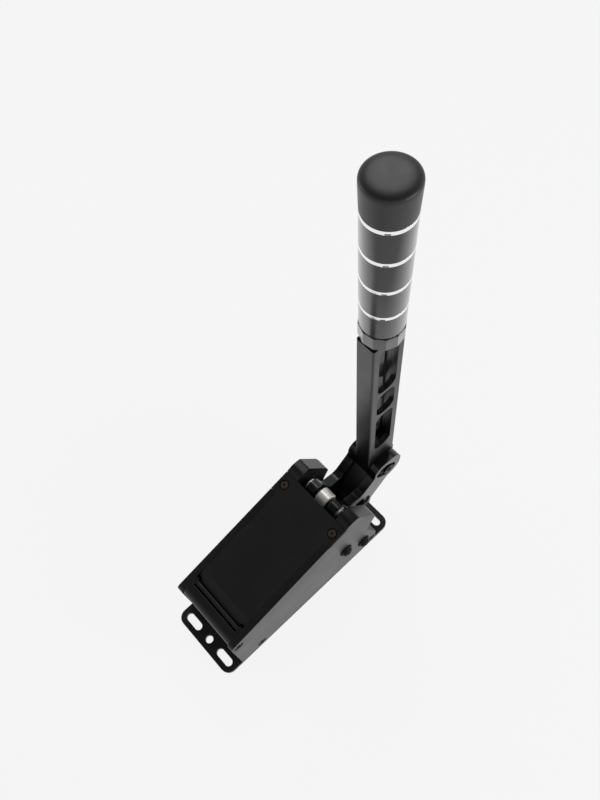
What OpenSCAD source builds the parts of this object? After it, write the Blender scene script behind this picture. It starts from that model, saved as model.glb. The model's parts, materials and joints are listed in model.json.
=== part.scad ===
// Handbrake for a driving simulator: a pulled lever on a rocker that squeezes
// an elastomer stack against a force sensor inside a sloped housing.
// Millimetres. X runs across the base, Y along it with the lever at the +Y end, Z up.
// The origin is the centre of the four mounting slots, on the underside of the base plate.

/* [Base plate] */
// Width of the base plate
plate_w = 70; // [66:1:90]
// Length of the base plate
plate_l = 200; // [198:1:230]
// Thickness of the base plate
plate_t = 5; // [4:0.5:8]
// Radius of the base plate's corners
plate_r = 8; // [3:0.5:12]
// Spacing of the mounting slots across the plate
slot_gap_x = 42; // [38:0.5:46]
// Spacing of the two rows of mounting slots
slot_gap_y = 183; // [181:0.5:184]
// Width of a mounting slot
slot_w = 7; // [6:0.5:10]
// End to end length of a mounting slot
slot_len = 18; // [14:0.5:21]
// Bore of the round hole between two slots
mid_hole_d = 7; // [5:0.5:12]

/* [Housing] */
// Distance from the origin to the near end of the housing
near_reach = 82.4; // [80:0.2:84]
// Distance from the origin to the far end of the side plates
far_reach = 81.2; // [80:0.2:84]
// Slope of the cover, in degrees
slope = 15.6; // [13:0.2:17]
// Thickness of a side plate along the cover
wall_t = 5.8; // [4:0.2:6]
// Thickness of a side plate at its far shoulder
block_t = 12.2; // [11:0.2:12.6]
// Thickness of the cover
cover_t = 3; // [2.5:0.5:4]
// Length of the cover where it is as wide as the housing
ear_len = 19; // [16:1:22]
// Length along the slope from the near edge to the far edge of the cover
cover_end = 132; // [128:1:134]
// Length along the slope to where the cover bends down
bend_at = 27; // [25:0.5:30]
// Length along the slope to the edge of the cover's bent lip
lip_at = 17.2; // [17:0.1:18]
// Drop of the bent lip
lip_drop = 3.4; // [2:0.2:4]
// Thickness of the end plate
end_t = 10.8; // [9:0.2:11]
// Radius of the end plate's top edge
end_r = 7; // [3:0.5:8]
// Gap that flat neighbours keep
gap = 0.3; // [0.1:0.05:0.3]

/* [Rocker] */
// Place of the main pivot along the base
pivot_y = 65.5; // [64:0.5:67]
// Height of the main pivot
pivot_z = 26; // [25:0.5:30]
// Distance from the main pivot to the push rod's pin
arm = 69; // [66:0.5:72]
// Angle that the lever can be pulled through, in degrees
pull_angle = 12; // [8:1:12]
// Thickness of a rocker cheek
cheek_t = 8.5; // [7:0.1:9.5]
// Place of the lever's foot bolt along the base
foot_y = 79; // [77:0.5:80]
// Height of the lever's foot bolt
foot_z = 57; // [56:0.5:60]
// Height of the clamp bolt that sets the lever's angle
clamp_z = 85; // [84:0.5:88]
// Angle over which the lever can be set, in degrees
tilt_angle = 12; // [6:1:12]
// Radius of the rocker around the clamp bolt
top_lobe_r = 14; // [13:0.5:16]
// Radius of the rocker around the push rod's pin
pin_lobe_r = 7.6; // [7:0.1:9.5]

/* [Push rod and stack] */
// Radius of the rod end
eye_r = 8; // [7:0.5:8.5]
// Width of the rod end
eye_w = 10.8; // [8:0.2:12]
// Radius of the push rod
rod_r = 4; // [3:0.5:4.5]
// Outer radius of the guide tube
tube_r = 12; // [11:0.5:12.5]
// Wall of the guide tube
tube_wall = 1.8; // [1.4:0.2:2.2]
// Distance along the rod from its pin to the guide tube
tube_at = 41; // [40:0.5:43]
// Length of the piston
piston_len = 13.5; // [12:0.5:15]
// Height of the force sensor
cell_h = 7.5; // [6:0.5:9]

/* [Lever] */
// Place of the lever's centre line along the base
lever_y = 112; // [111:0.5:113]
// Width of the lever bar across the base
bar_w = 15.8; // [13:0.2:16.4]
// Depth of the lever bar along the base
bar_d = 29; // [25:0.1:29]
// Height of the lever bar's top
bar_top = 294.3; // [285:0.1:310]
// Chamfer of the lever bar's long edges
bar_chamfer = 1; // [0.5:0.1:2.5]
// Width of the windows in the lever bar
window_w = 17.4; // [14:0.2:18]
// Height at which the lowest window begins
window_from = 127.3; // [120:0.1:130]
// Corner radius of the windows
window_r = 7; // [4:0.5:8]
// Wall of the lever bar around its hollow
bar_wall = 4.4; // [3:0.1:4.5]
// Web between two windows
window_web = 4.1; // [3:0.1:7]
// Lengths of the windows from the lowest up
window_lens = [60.7, 30.8, 61.5]; // [20:0.1:66]

/* [Grip] */
// Radius of the grip under its cap
grip_r = 15; // [13.5:0.1:17]
// Radius of the grip at its lower end
grip_low_r = 14.4; // [13:0.1:17]
// How much wider the cap is at its top
cap_flare = 0.55; // [0:0.05:1]
// Radius of the twelve-sided collar, over its corners
collar_r = 15; // [14:0.1:18]
// Height of the collar
collar_h = 12.6; // [9:0.1:15]
// Gap between the lever bar and the collar
neck_h = 2; // [1.5:0.5:6]
// Height of the lowest sleeve
first_sleeve_h = 20.5; // [15:0.1:25]
// Height of each further sleeve
sleeve_h = 22.8; // [18:0.1:26]
// Height of a bright ring
ring_h = 2.8; // [1.5:0.1:3]
// Height of the cap above the last ring
cap_h = 22.9; // [15:0.1:26]
// Radius of the cap's top edge
cap_edge_r = 4.5; // [2:0.5:7]

/* [Fasteners] */
// Radius of the pivot shaft
shaft_r = 6; // [5:0.5:6.5]
// Radius of the stop bar
stop_r = 5; // [4:0.5:5.5]
// Place of the stop bar along the base
stop_y = 44; // [43:0.5:45]
// Height of the stop bar
stop_z = 50; // [48:0.5:52]
// Wall of the soft sleeve on the stop bar
bumper_wall = 2; // [1.5:0.5:2.5]
// Radius of the flange on the large side bolts
flange_r = 6.4; // [6:0.1:7]
// Radius of a small side screw's head
side_head_r = 4.2; // [3.5:0.1:4.5]
// Radius of a cover screw's head
cover_head_r = 3.4; // [3:0.1:3.8]
// Radius of the rod end's pin
pin_r = 4; // [3:0.5:4.5]
// Radius of the foot bolt
foot_bolt_r = 4; // [3:0.5:4.5]
// Radius of the clamp bolt
clamp_bolt_r = 3; // [2.5:0.5:3.5]

/* [Hidden] */

$fn = 64;
run = 0.05;         // clearance of a shaft in its bore
fit = 0.03;         // clearance of a piece that is seated for good
soft = 0.3;         // clearance beside a soft or moving face
lots = 300;         // longer than anything it cuts
half_w = plate_w / 2;

// Points of the mechanism, each [y, z]
pivot_pt = [pivot_y, pivot_z];
foot_pt = [foot_y, foot_z];
clamp_pt = [lever_y + 1.5, clamp_z];
stop_pt = [stop_y, stop_z];
pin_ang = slope - pull_angle / 2;
pin_pt = pivot_pt + arm * [-sin(pin_ang), cos(pin_ang)];

// The cover clears the guide tube, and the side plates follow the cover
tube_gap = 1;
cover_lift = tube_r + tube_gap + cover_t;
near_z = pin_pt[1] + cover_lift / cos(slope) - (pin_pt[0] + near_reach) * tan(slope);
ear_at = cover_end - ear_len;

// Half widths of the spaces inside
wall_in = half_w - wall_t;
block_in = half_w - block_t;
cheek_in = bar_w / 2 + run;
cheek_out = cheek_in + cheek_t;

// Cross pieces between the side plates
end_in = -near_reach + 1 + end_t;
cross_t = 12;
board_gap = 1;
board_t = 1.6;
chip_h = 2.4;
reaction_y = end_in + board_gap + board_t + chip_h + 0.6;
reaction_t = 21;
reaction_screw_y = reaction_y + 6.5;
saddle_y = 8;
far_bar_t = 11;
far_bar_h = 9.8;
low_screw_z = plate_t + 6;
board_w = 46;
board_h = 30;
board_z = plate_t + 8;
port_z = plate_t + 14;

// Pieces along the rod, by their distance from the pin
tube_in = tube_r - tube_wall;
tube_seat = 5.1;
tube_end = (pin_pt[0] - reaction_y - reaction_t + tube_seat) / cos(slope);
tube_len = tube_end - tube_at;
gland_len = 6;
bumper_len = 2.4;
ball_r = rod_r + 0.8;
piston_at = tube_at + gland_len + bumper_len;
ball_at = piston_at + 4;
cup_r = ball_r + 0.6;
cup_len = 4 + ball_r + 0.1;
cell_at = tube_end - cell_h - gap;
stack_at = piston_at + piston_len + soft;
stack_len = cell_at - soft - stack_at;
soft_share = 0.55;
cradle_h = 7;
lock_at = tube_end + 12.4;
eye_neck = 16;
nut_h = 6;
knob_r = 8;
knob_h = 4;
lock_h = 2.4;

// Heights along the grip
collar_z = bar_top + neck_h;
foot_disc_h = 1;
grip_z = collar_z + collar_h + foot_disc_h;
ring_count = 4;
core_r = grip_low_r - 3.4;
core_in_cap = cap_h / 2;
stud_r = grip_r / 3;
hollow_top = window_z(len(window_lens)) - window_web;
stud_in_bar = bar_top - hollow_top - soft;
stud_in_core = first_sleeve_h + 6;
stud_room = 4;
notch_turn = -48;
function sleeve_z(i) = grip_z + (i == 0 ? 0 : first_sleeve_h + ring_h + (i - 1) * (sleeve_h + ring_h));
function sleeve_len(i) = i == 0 ? first_sleeve_h : sleeve_h;
function ring_z(i) = sleeve_z(i) + sleeve_len(i);
cap_z = sleeve_z(ring_count);
function grip_r_at(z) = grip_low_r + (grip_r - grip_low_r) * (z - grip_z) / (cap_z - grip_z);
function window_z(i) = i == 0 ? window_from : window_z(i - 1) + window_lens[i - 1] + window_web;

// Colours as photographed
black_anodised = [0.075, 0.078, 0.082];
dark_steel = [0.05, 0.05, 0.052];
bronze_screw = [0.36, 0.27, 0.22];
bright_steel = [0.86, 0.84, 0.81];
satin_grip = [0.2, 0.2, 0.2];
urethane = [0.72, 0.3, 0.12];
board_green = [0.05, 0.25, 0.13];

// One corner of an outline as an arc of the given radius
function unit(v) = v / norm(v);
function corner_arc(a, b, c, r, steps) =
    let (u = unit([a[0] - b[0], a[1] - b[1]]), v = unit([c[0] - b[0], c[1] - b[1]]))
    let (half = acos(max(-1, min(1, u * v))) / 2)
    let (mid = [b[0], b[1]] + unit(u + v) * r / sin(half))
    let (from = [b[0], b[1]] + u * r / tan(half) - mid)
    let (to = [b[0], b[1]] + v * r / tan(half) - mid)
    let (start = atan2(from[1], from[0]), raw = atan2(to[1], to[0]) - start)
    let (sweep = raw > 180 ? raw - 360 : (raw < -180 ? raw + 360 : raw))
    [for (k = [0:steps]) mid + r * [cos(start + sweep * k / steps), sin(start + sweep * k / steps)]];

// An outline of [x, y, radius] corners with each corner rounded
function rounded(pts, steps = 6) =
    let (n = len(pts))
    [for (i = [0:n - 1])
        each (pts[i][2] == 0 ? [[pts[i][0], pts[i][1]]] :
            corner_arc(pts[(i + n - 1) % n], pts[i], pts[(i + 1) % n], pts[i][2], steps))];

// A rectangle about the origin with round corners
function round_rect(w, h, r) =
    rounded([[-w / 2, -h / 2, r], [w / 2, -h / 2, r], [w / 2, h / 2, r], [-w / 2, h / 2, r]]);

// A point of the side view at s along the cover and n above it
function slope_pt(s, n) =
    [-near_reach + s * cos(slope) - n * sin(slope), near_z + s * sin(slope) + n * cos(slope)];

// The side view turned to stand across the base between two x values
module across(x0, x1) {
    translate([x0, 0, 0]) rotate([90, 0, 90]) linear_extrude(x1 - x0) children();
}

// A round bar or bore across the base at a point of the side view
module cross_rod(pt, r, x0, x1) {
    translate([x0, pt[0], pt[1]]) rotate([0, 90, 0]) cylinder(r = r, h = x1 - x0);
}

// The plane of the cover's top, with y up the slope and z out of it
module on_slope() {
    translate([0, -near_reach, near_z]) rotate([slope, 0, 0]) children();
}

// A place t along the push rod from its pin, with z pointing down the rod
module on_rod(t) {
    translate([0, pin_pt[0] - t * cos(slope), pin_pt[1] - t * sin(slope)])
        rotate([90 + slope, 0, 0]) children();
}

// A ring with a round bore
module ring(r_out, r_in, h) {
    difference() {
        cylinder(r = r_out, h = h);
        translate([0, 0, -1]) cylinder(r = r_in, h = h + 2);
    }
}

// Both halves of a piece that is mirrored across the base
module both_sides() {
    children();
    mirror([1, 0, 0]) children();
}

// A hexagonal socket of a given width over corners
module hex_socket(r, depth) {
    translate([0, 0, -depth]) cylinder(r = r, h = depth + 1, $fn = 6);
}

// A flanged button-head bolt that stands out along +X from a side plate's face
module flanged_bolt(shank_r, shank_len) {
    rotate([0, 90, 0]) difference() {
        union() {
            cylinder(r = flange_r, h = 1.2);
            translate([0, 0, 1.2 - 0.01]) cylinder(r1 = flange_r - 0.9, r2 = flange_r - 2.4, h = 2.8);
            translate([0, 0, -shank_len]) cylinder(r = shank_r, h = shank_len + 0.1);
        }
        translate([0, 0, 4]) hex_socket(2.4, 2.6);
    }
}

// A cap screw with its head's top at z = 0 and its shank below
module cap_screw(head_r, head_h, shank_r, shank_len, socket_r) {
    difference() {
        union() {
            translate([0, 0, -head_h]) cylinder(r = head_r, h = head_h);
            translate([0, 0, -head_h - shank_len]) cylinder(r = shank_r, h = shank_len + 0.1);
        }
        hex_socket(socket_r, head_h * 0.6);
    }
}

// Where the small screws go through the side plates, [y, z] each
near_screw_pt = [-near_reach + 1 + end_t / 2, near_z - 8];
side_screw_pts = [near_screw_pt, [reaction_screw_y, low_screw_z],
    [far_reach - far_bar_t / 2 - 0.2, low_screw_z]];

// Where the screws come up through the base plate, [x, y] each
base_screw_r = 2.5;
base_screw_x = 12;
base_screw_pts = [for (y = [reaction_screw_y, saddle_y + cross_t / 2,
    far_reach - far_bar_t / 2 - 0.2]) for (x = [-base_screw_x, base_screw_x]) [x, y]];

module slot_hole(x, y) {
    reach = (slot_len - slot_w) / 2;
    for (dx = [-reach, reach]) {
        translate([x + dx, y, -1]) cylinder(d = slot_w, h = plate_t + 2);
    }
    translate([x - reach, y - slot_w / 2, -1]) cube([2 * reach, slot_w, plate_t + 2]);
}

module base_plate() {
    color(black_anodised) difference() {
        linear_extrude(plate_t) polygon(round_rect(plate_w, plate_l, plate_r));
        for (x = [-slot_gap_x / 2, slot_gap_x / 2]) {
            for (y = [-slot_gap_y / 2, slot_gap_y / 2]) {
                slot_hole(x, y);
            }
        }
        for (y = [-slot_gap_y / 2, slot_gap_y / 2]) {
            translate([0, y, -1]) cylinder(d = mid_hole_d, h = plate_t + 2);
        }
        for (p = base_screw_pts) {
            translate([p[0], p[1], -1]) cylinder(r = base_screw_r + fit, h = plate_t + 2);
            translate([p[0], p[1], -0.01])
                cylinder(r1 = 2 * base_screw_r, r2 = base_screw_r + fit, h = base_screw_r);
        }
    }
}

// Side view of a side plate
shoulder_at = slope_pt(cover_end + gap, 0);
side_outline = [[-near_reach, plate_t, 0], [-near_reach, near_z, 5],
    [shoulder_at[0], shoulder_at[1], 0],
    [shoulder_at[0] + 6, shoulder_at[1] + 3.2, 9],
    [shoulder_at[0] + 14.4, shoulder_at[1] + 2.2, 4],
    [far_reach - 4.9, shoulder_at[1] - 27.4, 1],
    [far_reach - 2, shoulder_at[1] - 36.5, 2.5],
    [far_reach - 12.2, shoulder_at[1] - 54.5, 1.5],
    [far_reach, 22, 4], [far_reach, plate_t, 0]];

// The cover seen square on, grown by a clearance
function cover_outline(side, grow, from) =
    rounded([[-side, from, 0], [side, from, 0],
        [side, ear_at - grow, 3], [half_w + grow, ear_at - grow, 0],
        [half_w + grow, cover_end + grow, 0], [-half_w - grow, cover_end + grow, 0],
        [-half_w - grow, ear_at - grow, 0], [-side, ear_at - grow, 3]]);

tab_in = 26;
tab_from = 12.2;
tab_to = 18.2;
rod_s = 14.9;
rib_r = 2;

module side_plate() {
    difference() {
        union() {
            across(wall_in, half_w) polygon(rounded(side_outline));
            across(block_in, half_w) intersection() {
                polygon(rounded(side_outline));
                translate([slope_pt(ear_at, 0)[0] + 2, 0]) square(lots);
            }
            on_slope() translate([tab_in, tab_from, -8]) cube([half_w - tab_in - 1, tab_to - tab_from, 8]);
        }
        on_slope() translate([0, 0, -cover_t - gap])
            linear_extrude(lots) polygon(cover_outline(wall_in - 0.5, gap, ear_at - 4));
        on_slope() translate([0, rod_s, -rib_r - 0.4]) rotate([0, 90, 0])
            cylinder(r = rib_r + run, h = tab_in + 1.5);
        cross_rod(pivot_pt, shaft_r + fit, 0, lots);
        cross_rod(stop_pt, stop_r + fit, 0, lots);
        for (p = side_screw_pts) {
            cross_rod(p, side_head_r + 0.5, half_w - 4, lots);
            cross_rod(p, 2.5 + fit, 0, lots);
        }
        on_slope() translate([cover_screw_x, cover_screw_s, -20])
            cylinder(r = cover_screw_r + fit, h = lots);
    }
}

module side_plate_right() {
    color(black_anodised) side_plate();
}

module side_plate_left() {
    color(black_anodised) mirror([1, 0, 0]) side_plate();
}

cover_screw_x = half_w - block_t / 2 - 0.4;
cover_screw_s = cover_end - 9.3;
cover_screw_r = cover_head_r - 1.4;
cover_screw_len = block_t - 2;
notch_r = 1.5;
notch_in = wall_in - 3.2;
notch_far = lip_at + 3;

module cover() {
    inner = wall_in - gap;
    bend = [[bend_at - 0.2, 0], [lip_at, -lip_drop], [lip_at, -lip_drop - cover_t],
        [bend_at, -cover_t], [ear_at, -cover_t], [ear_at, 0]];
    color(black_anodised) difference() {
        on_slope() union() {
            translate([0, 0, -cover_t]) linear_extrude(cover_t)
                polygon(cover_outline(inner, 0, ear_at - 6));
            translate([-inner, 0, 0]) rotate([90, 0, 90]) linear_extrude(2 * inner) polygon(bend);
        }
        for (x = [-cover_screw_x, cover_screw_x]) {
            on_slope() translate([x, cover_screw_s, -2]) cylinder(r = cover_head_r + 0.9, h = 10);
            on_slope() translate([x, cover_screw_s, -10]) cylinder(r = cover_screw_r + fit, h = 20);
        }
        both_sides() on_slope() translate([0, 0, -20]) {
            translate([notch_in, notch_far - notch_r, 0]) cylinder(r = notch_r, h = 40);
            translate([notch_in, notch_far - 8, 0]) cube([10, 8, 40]);
            translate([notch_in - notch_r, notch_far - 8, 0]) cube([notch_r + 1, 8 - notch_r, 40]);
        }
    }
}

module cover_screws() {
    color(bronze_screw) both_sides() on_slope() translate([cover_screw_x, cover_screw_s, -0.3])
        cap_screw(cover_head_r, 1.65, cover_screw_r, cover_screw_len, cover_head_r / 2);
}

end_outline = [[-near_reach + 1, plate_t + gap, 0], [-near_reach + 1, near_z + 0.3, end_r],
    [end_in, near_z + (end_in + near_reach) * tan(slope), 0.8], [end_in, plate_t + gap, 0]];

module end_plate() {
    color(black_anodised) difference() {
        across(-wall_in + gap, wall_in - gap) polygon(rounded(end_outline));
        translate([-port_w / 2 - run, -near_reach, port_z - port_h / 2 - run])
            cube([port_w + 2 * run, end_t + 4, port_h + 2 * run]);
        cross_rod(near_screw_pt, 2.5 + fit, wall_in - 14, lots);
        mirror([1, 0, 0]) cross_rod(near_screw_pt, 2.5 + fit, wall_in - 14, lots);
        for (p = board_screw_pts) {
            translate([p[0], end_in + 1, p[1]]) rotate([90, 0, 0])
                cylinder(r = board_screw_r + fit, h = board_screw_len + 1);
        }
    }
}

module retaining_rod() {
    color(black_anodised) on_slope() translate([-tab_in - 1.4, rod_s, -rib_r - 0.4]) rotate([0, 90, 0])
        cylinder(r = rib_r, h = 2 * tab_in + 2.8);
}

// An upright block between the side plates, open above the tube, that begins at y0
module upright(y0, t) {
    function top(y) = near_z + (y + near_reach) * tan(slope) - (cover_lift - cradle_h) / cos(slope);
    across(-wall_in + gap, wall_in - gap)
        polygon([[y0, plate_t + gap], [y0, top(y0)], [y0 + t, top(y0 + t)], [y0 + t, plate_t + gap]]);
}

// The block that the stack pushes against, with the tube seated in its far face
module reaction_block() {
    color(black_anodised) difference() {
        upright(reaction_y, reaction_t);
        on_rod(0) cylinder(r = tube_r + run, h = tube_end + run);
        on_rod(0) cylinder(r = 5 + run, h = lots);
        on_rod(lock_at) cylinder(r = knob_r + 1, h = lots);
        screw_bores([reaction_screw_y, low_screw_z]);
        base_bores(reaction_screw_y);
    }
}

// The upright that carries the far end of the tube
module tube_saddle() {
    color(black_anodised) difference() {
        upright(saddle_y, cross_t);
        on_rod(0) cylinder(r = tube_r + run, h = lots);
        base_bores(saddle_y + cross_t / 2);
    }
}

module far_cross_bar() {
    y0 = far_reach - far_bar_t - 0.2;
    color(black_anodised) difference() {
        translate([-block_in + gap, y0, plate_t + gap])
            cube([2 * (block_in - gap), far_bar_t, far_bar_h]);
        screw_bores(side_screw_pts[2]);
        base_bores(y0 + far_bar_t / 2);
    }
}

// Blind bores in a cross piece for the small side screws
module screw_bores(pt) {
    both_sides() cross_rod(pt, 2.5 + fit, block_in - 8, lots);
}

// Blind bores in a cross piece for the screws from below
module base_bores(y) {
    for (x = [-base_screw_x, base_screw_x]) {
        translate([x, y, 0]) cylinder(r = base_screw_r + fit, h = plate_t + base_screw_len - 4);
    }
}

base_screw_len = 12;

module side_screws() {
    color(dark_steel) both_sides() for (p = side_screw_pts) {
        translate([half_w - 0.4, p[0], p[1]]) rotate([0, 90, 0])
            cap_screw(side_head_r, 3.55, 2.5, block_t - 3.6 + 5, 2);
    }
}

module base_screws() {
    color(dark_steel) for (p = base_screw_pts) {
        translate([p[0], p[1], 0.3]) difference() {
            union() {
                cylinder(r1 = 2 * base_screw_r - 0.45, r2 = base_screw_r, h = base_screw_r - 0.4);
                cylinder(r = base_screw_r, h = base_screw_len);
            }
            translate([0, 0, -1]) cylinder(r = 1.6, h = 2.6, $fn = 6);
        }
    }
}

module guide_tube() {
    color(dark_steel) on_rod(tube_at) ring(tube_r, tube_in, tube_len);
}

// Ring in the tube's mouth that the rod passes through with play for its rocking
module gland_ring() {
    color(bright_steel) on_rod(tube_at) ring(tube_in - run, rod_r + 0.7, gland_len);
}

module rebound_bumper() {
    color(urethane) on_rod(tube_at + gland_len) ring(tube_in - run, rod_r + 0.9, bumper_len - soft);
}

module force_sensor() {
    color(bright_steel) on_rod(cell_at) difference() {
        union() {
            cylinder(r = tube_in - run, h = cell_h - 1.5);
            cylinder(r = 7, h = cell_h);
        }
        translate([0, 0, cell_h - 2.2]) cylinder(r = 2.5, h = 4);
    }
}

// Screw through the reaction block that sets how hard the stack is squeezed at rest
module preload_screw() {
    knob_at = lock_at + lock_h + 0.2;
    color(bright_steel) on_rod(tube_end + 0.1) cylinder(r = 5, h = knob_at - tube_end);
    color(bright_steel) on_rod(knob_at) cylinder(r = knob_r, h = knob_h);
}

module preload_nut() {
    color(bright_steel) on_rod(lock_at + 0.1) difference() {
        cylinder(r = 7.4, h = lock_h, $fn = 6);
        translate([0, 0, -1]) cylinder(r = 5 + run, h = 5);
    }
}

module soft_elastomer() {
    color(urethane) on_rod(stack_at) ring(tube_in - 0.5, 3, stack_len * soft_share - soft);
}

module hard_elastomer() {
    color(urethane) on_rod(stack_at + stack_len * soft_share)
        ring(tube_in - 0.5, 3, stack_len * (1 - soft_share));
}

port_w = 9;
port_h = 3.4;
board_y = end_in + board_gap;
board_screw_r = 1.25;
board_screw_len = end_t / 2 + 0.6;
board_screw_pts = [for (x = [-board_w / 2 + 4, board_w / 2 - 4])
    for (z = [board_z + 4, board_z + board_h - 4]) [x, z]];

module circuit_board() {
    color(board_green) difference() {
        translate([-board_w / 2, board_y, board_z]) cube([board_w, board_t, board_h]);
        for (p = board_screw_pts) {
            translate([p[0], board_y + 5, p[1]]) rotate([90, 0, 0]) cylinder(r = board_screw_r + fit, h = 9);
        }
    }
}

module board_parts() {
    chip_y = board_y + board_t;
    color(dark_steel) {
        translate([-4, chip_y, board_z + 16]) cube([8, 1.1, 8]);
        translate([-16, chip_y, board_z + 10]) cube([5, 0.9, 4]);
        translate([11, chip_y, board_z + 8]) cube([8, chip_h, 5]);
    }
}

module board_screws() {
    color(bright_steel) for (p = board_screw_pts) {
        translate([p[0], board_y + board_t + 1.2, p[1]]) rotate([-90, 0, 0])
            cap_screw(2 * board_screw_r - 0.2, 1.2, board_screw_r, board_screw_len, 1);
    }
}

// Data port that shows in the end plate, soldered to the board behind it
module data_port() {
    color(bright_steel) difference() {
        translate([-port_w / 2, -near_reach + 1.4, port_z - port_h / 2])
            cube([port_w, board_y + near_reach - 1.4, port_h]);
        translate([-port_w / 2 + 0.4, -near_reach - 1, port_z - port_h / 2 + 0.4])
            cube([port_w - 0.8, 8, port_h - 0.8]);
    }
}

module stop_bar() {
    color(dark_steel) difference() {
        cross_rod(stop_pt, stop_r, -half_w + 0.2, half_w - 0.2);
        both_sides() cross_rod(stop_pt, 3 + fit, half_w - 12, lots);
    }
}

module stop_bumper() {
    color(urethane) difference() {
        cross_rod(stop_pt, stop_r + bumper_wall, -block_in + soft, block_in - soft);
        cross_rod(stop_pt, stop_r + run, -lots / 2, lots / 2);
    }
}

module stop_bolts() {
    color(dark_steel) both_sides() translate([half_w, stop_pt[0], stop_pt[1]]) flanged_bolt(3, 10);
}

module pivot_shaft() {
    color(bright_steel) difference() {
        cross_rod(pivot_pt, shaft_r, -half_w + 0.2, half_w - 0.2);
        both_sides() cross_rod(pivot_pt, 3 + fit, half_w - 12, lots);
    }
}

module pivot_spacers() {
    color(bright_steel) both_sides() difference() {
        cross_rod(pivot_pt, shaft_r + 3, cheek_out + bush_flange + 0.2, block_in);
        cross_rod(pivot_pt, shaft_r + fit, 0, lots);
    }
}

module pivot_bolts() {
    color(dark_steel) both_sides() translate([half_w, pivot_pt[0], pivot_pt[1]]) flanged_bolt(3, 10);
}

bush_flange = 1.2;
bush_r = shaft_r + 2;
hub_lobe_r = bush_r + 3;
foot_lobe_r = 14;
foot_head_h = foot_bolt_r;
spot_r = 12;
spot_depth = 1.5;
recess_depth = 2.6;
recess_r = 7.6;
clamp_head_r = 5.3;
clamp_head_h = 2.1;

// A point of the side view turned about another, anticlockwise seen from +X
function turned(pt, about, ang) =
    about + [(pt[0] - about[0]) * cos(ang) - (pt[1] - about[1]) * sin(ang),
        (pt[0] - about[0]) * sin(ang) + (pt[1] - about[1]) * cos(ang)];

// The far end of the clamp bolt's slot, and the rocker's front edge at the stop
clamp_far = turned(clamp_pt, foot_pt, tilt_angle);
stop_seen = turned(stop_pt, pivot_pt, -pull_angle);
front_y = stop_seen[0] + stop_r + bumper_wall + soft;

// Side view of a rocker cheek between its round lobes
cheek_outline = [
    [pin_pt[0] - 8.8, pin_pt[1] - 6, 3], [pin_pt[0] - 8, pin_pt[1] + 6.6, 6],
    [pin_pt[0] + 5, pin_pt[1] + 7, 3], [pin_pt[0] + 8.2, pin_pt[1] - 1, 5],
    [pin_pt[0] + 10.6, pin_pt[1] - 12, 6], [foot_pt[0] + 1.4, foot_pt[1] + 20.8, 9],
    [clamp_far[0] - 10, clamp_far[1] + 0.7, 7], [clamp_far[0] - 10.3, clamp_far[1] + 14, 9],
    [clamp_pt[0] + 9.4, clamp_pt[1] + 18.4, 9], [clamp_pt[0] + 15, clamp_pt[1] + 4, 8],
    [clamp_pt[0] + 11, clamp_pt[1] - 8, 2], [clamp_pt[0] - 0.9, clamp_pt[1] - top_lobe_r + 0.2, 2],
    [foot_pt[0] + 14.1, foot_pt[1] - 5.4, 2], [foot_pt[0] + 13, foot_pt[1] - 15, 4],
    [pivot_pt[0] + 8.2, pivot_pt[1] - 7, 1], [pivot_pt[0] - 8, pivot_pt[1] - 6, 1],
    [front_y, pivot_pt[1] + 17, 4], [front_y, pin_pt[1] - 30, 6]];

module arc_slot(r, x0, x1) {
    for (k = [0:4]) {
        cross_rod(turned(clamp_pt, foot_pt, tilt_angle * k / 4), r, x0, x1);
    }
    reach = norm(clamp_pt - foot_pt);
    base_ang = atan2(clamp_pt[1] - foot_pt[1], clamp_pt[0] - foot_pt[0]);
    translate([x0, foot_pt[0], foot_pt[1]]) rotate([90, 0, 90]) rotate([0, 0, base_ang])
        rotate_extrude(angle = tilt_angle) translate([reach - r, 0]) square([2 * r, x1 - x0]);
}

module cheek() {
    difference() {
        union() {
            across(cheek_in, cheek_out) polygon(rounded(cheek_outline));
            cross_rod(pin_pt, pin_lobe_r, cheek_in, cheek_out);
            cross_rod(clamp_pt, top_lobe_r, cheek_in, cheek_out);
            cross_rod(foot_pt, foot_lobe_r, cheek_in, cheek_out);
            cross_rod(pivot_pt, hub_lobe_r, cheek_in, cheek_out);
        }
        cross_rod(pin_pt, pin_r + fit, 0, lots);
        cross_rod(foot_pt, foot_bolt_r + fit, 0, lots);
        cross_rod(foot_pt, spot_r, cheek_out - spot_depth, lots);
        cross_rod(pivot_pt, bush_r + fit, 0, lots);
        arc_slot(clamp_bolt_r + 0.2, 0, cheek_out + 1);
        arc_slot(recess_r, cheek_out - recess_depth, cheek_out + 1);
    }
}

module cheek_right() {
    color(black_anodised) cheek();
}

module cheek_left() {
    color(black_anodised) mirror([1, 0, 0]) cheek();
}

module pivot_bushes() {
    color(bronze_screw) both_sides() difference() {
        union() {
            cross_rod(pivot_pt, bush_r, cheek_in + 0.1, cheek_out + 0.1);
            cross_rod(pivot_pt, bush_r + 2, cheek_out, cheek_out + bush_flange);
        }
        cross_rod(pivot_pt, shaft_r + run, 0, lots);
    }
}

module hub_sleeve() {
    color(dark_steel) difference() {
        cross_rod(pivot_pt, bush_r + 2, -cheek_in + fit, cheek_in - fit);
        cross_rod(pivot_pt, shaft_r + run, -lots / 2, lots / 2);
    }
}

pin_half = cheek_out + 2.4;
washer_t = 0.8;

module clevis_pin() {
    color(bright_steel) difference() {
        cross_rod(pin_pt, pin_r, -pin_half, pin_half);
        both_sides() difference() {
            cross_rod(pin_pt, pin_r + 1, cheek_out + washer_t + 0.1, cheek_out + 2 * washer_t + 0.2);
            cross_rod(pin_pt, pin_r - 0.8, 0, lots);
        }
    }
}

module pin_washers() {
    color(bright_steel) both_sides() difference() {
        cross_rod(pin_pt, pin_r + 1.9, cheek_out, cheek_out + washer_t);
        cross_rod(pin_pt, pin_r + run, 0, lots);
    }
}

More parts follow.
